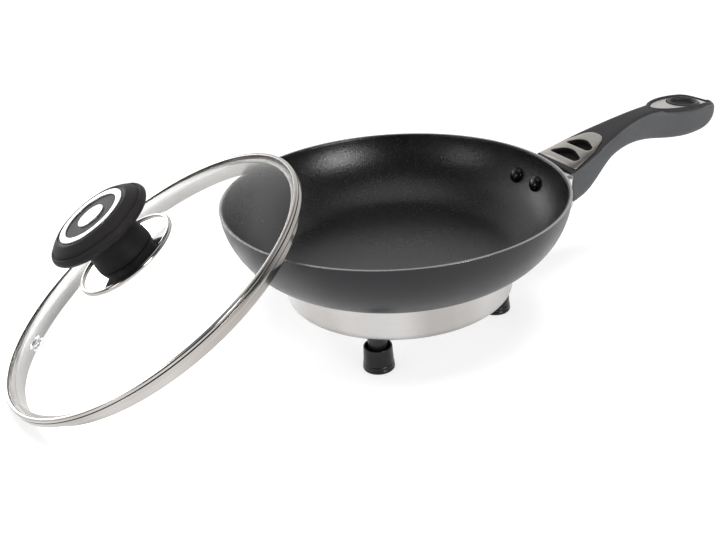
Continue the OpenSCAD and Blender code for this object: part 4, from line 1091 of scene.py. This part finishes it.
def softbox(name, place, width, height, power):
    """A rectangular lamp that faces the middle of the part's frame."""
    lamp = bpy.data.lights.new(name, "AREA")
    lamp.shape, lamp.size, lamp.size_y, lamp.energy = "RECTANGLE", width, height, power
    obj = linked(name, lamp)
    back = place / np.linalg.norm(place)
    right = np.cross([0, 0, 1.0], back)
    right = right / np.linalg.norm(right)
    set_axes(obj, right, np.cross(back, right), back, place)
    return obj


softbox("softbox_left", studio(-1.35, -0.85, 0.5), width=0.5, height=0.5, power=3.5)
softbox("softbox_right", studio(0.92, -1.2, 0.45), width=0.55, height=0.45, power=11)
softbox("softbox_behind", studio(-1.05, 1.15, 0.3), width=0.7, height=0.5, power=5)
top_lamp = softbox("softbox_top", studio(0.1, -0.3, 1.6), width=1.0, height=0.8, power=30)
top_lamp.visible_glossy = False


def make_floor():
    """A wide disc under the feet. Seen directly or mirrored it is white, with a faint shadow near the part.
    For other light it is plain pale, and from below it isn't seen."""
    radius, z, near_to, far_from = 6000, Z_GROUND - 0.01, 0.35, 0.9
    obj = lathe("floor", [(0, z), (radius, z)], UPRIGHT, 64)
    m = bpy.data.materials.new("floor_white")
    m.use_nodes = True
    tree = m.node_tree
    tree.nodes.clear()
    path = add(tree, "LightPath").outputs
    seen = sums(tree, "MAXIMUM", path["Is Camera Ray"], path["Is Glossy Ray"])
    seen = sums(tree, "MAXIMUM", seen, path["Is Transmission Ray"])
    at = coords(tree)
    off = add(tree, "VectorMath", {0: at}, operation="LENGTH").outputs["Value"]
    uneven = sums(tree, "MULTIPLY", noise(tree, 6.0, at), 0.02)
    far = span(tree, sums(tree, "ADD", off, uneven), near_to, far_from)
    pale = add(tree, "BsdfDiffuse", {"Color": (0.85, 0.85, 0.86, 1)})
    veil = add(tree, "BsdfDiffuse", {"Color": blend(tree, far, (0.42, 0.42, 0.425, 1), BLACK)})
    glow = add(tree, "Emission", {"Color": blend(tree, far, (0.7, 0.7, 0.7, 1), WHITE)})
    shown = add(tree, "AddShader", {0: veil, 1: glow})
    both = add(tree, "MixShader", {0: seen, 1: pale, 2: shown})
    under = add(tree, "NewGeometry").outputs["Backfacing"]
    sided = add(tree, "MixShader", {0: under, 1: both, 2: add(tree, "BsdfTransparent")})
    add(tree, "OutputMaterial", {"Surface": sided})
    obj.data.materials.append(m)


make_floor()


def make_world():
    """White where it is seen and plain for soft light. Mirrors see it dim on the camera's side and high up,
    and pale again right overhead."""
    dim, zenith_share = (0.03, 0.03, 0.034, 1), 0.7
    world = bpy.data.worlds.new("studio")
    scene.world = world
    world.use_nodes = True
    tree = world.node_tree
    tree.nodes.clear()
    path = add(tree, "LightPath").outputs
    way = add(tree, "TexCoord").outputs["Generated"]
    up = add(tree, "SeparateXYZ", {"Vector": way}).outputs[2]
    towards = {0: way, 1: tuple(studio(0, -1, 0))}
    face = add(tree, "VectorMath", towards, operation="DOT_PRODUCT").outputs["Value"]
    front, high, zenith = span(tree, face, -0.35, 0.2), span(tree, up, 0.56, 0.8), span(tree, up, 0.86, 0.96)
    mirrored = blend(tree, sums(tree, "MAXIMUM", front, high), WHITE, dim)
    mirrored = blend(tree, sums(tree, "MULTIPLY", zenith, zenith_share), mirrored, WHITE)
    plain = add(tree, "Background", {"Color": WHITE, "Strength": 0.42})
    white = add(tree, "Background", {"Color": WHITE, "Strength": 1.0})
    glossy = add(tree, "Background", {"Color": mirrored, "Strength": 1.0})
    first = add(tree, "MixShader", {0: path["Is Glossy Ray"], 1: plain, 2: glossy})
    seen = sums(tree, "MAXIMUM", path["Is Camera Ray"], path["Is Transmission Ray"])
    both = add(tree, "MixShader", {0: seen, 1: first, 2: white})
    add(tree, "OutputWorld", {"Surface": both})


make_world()
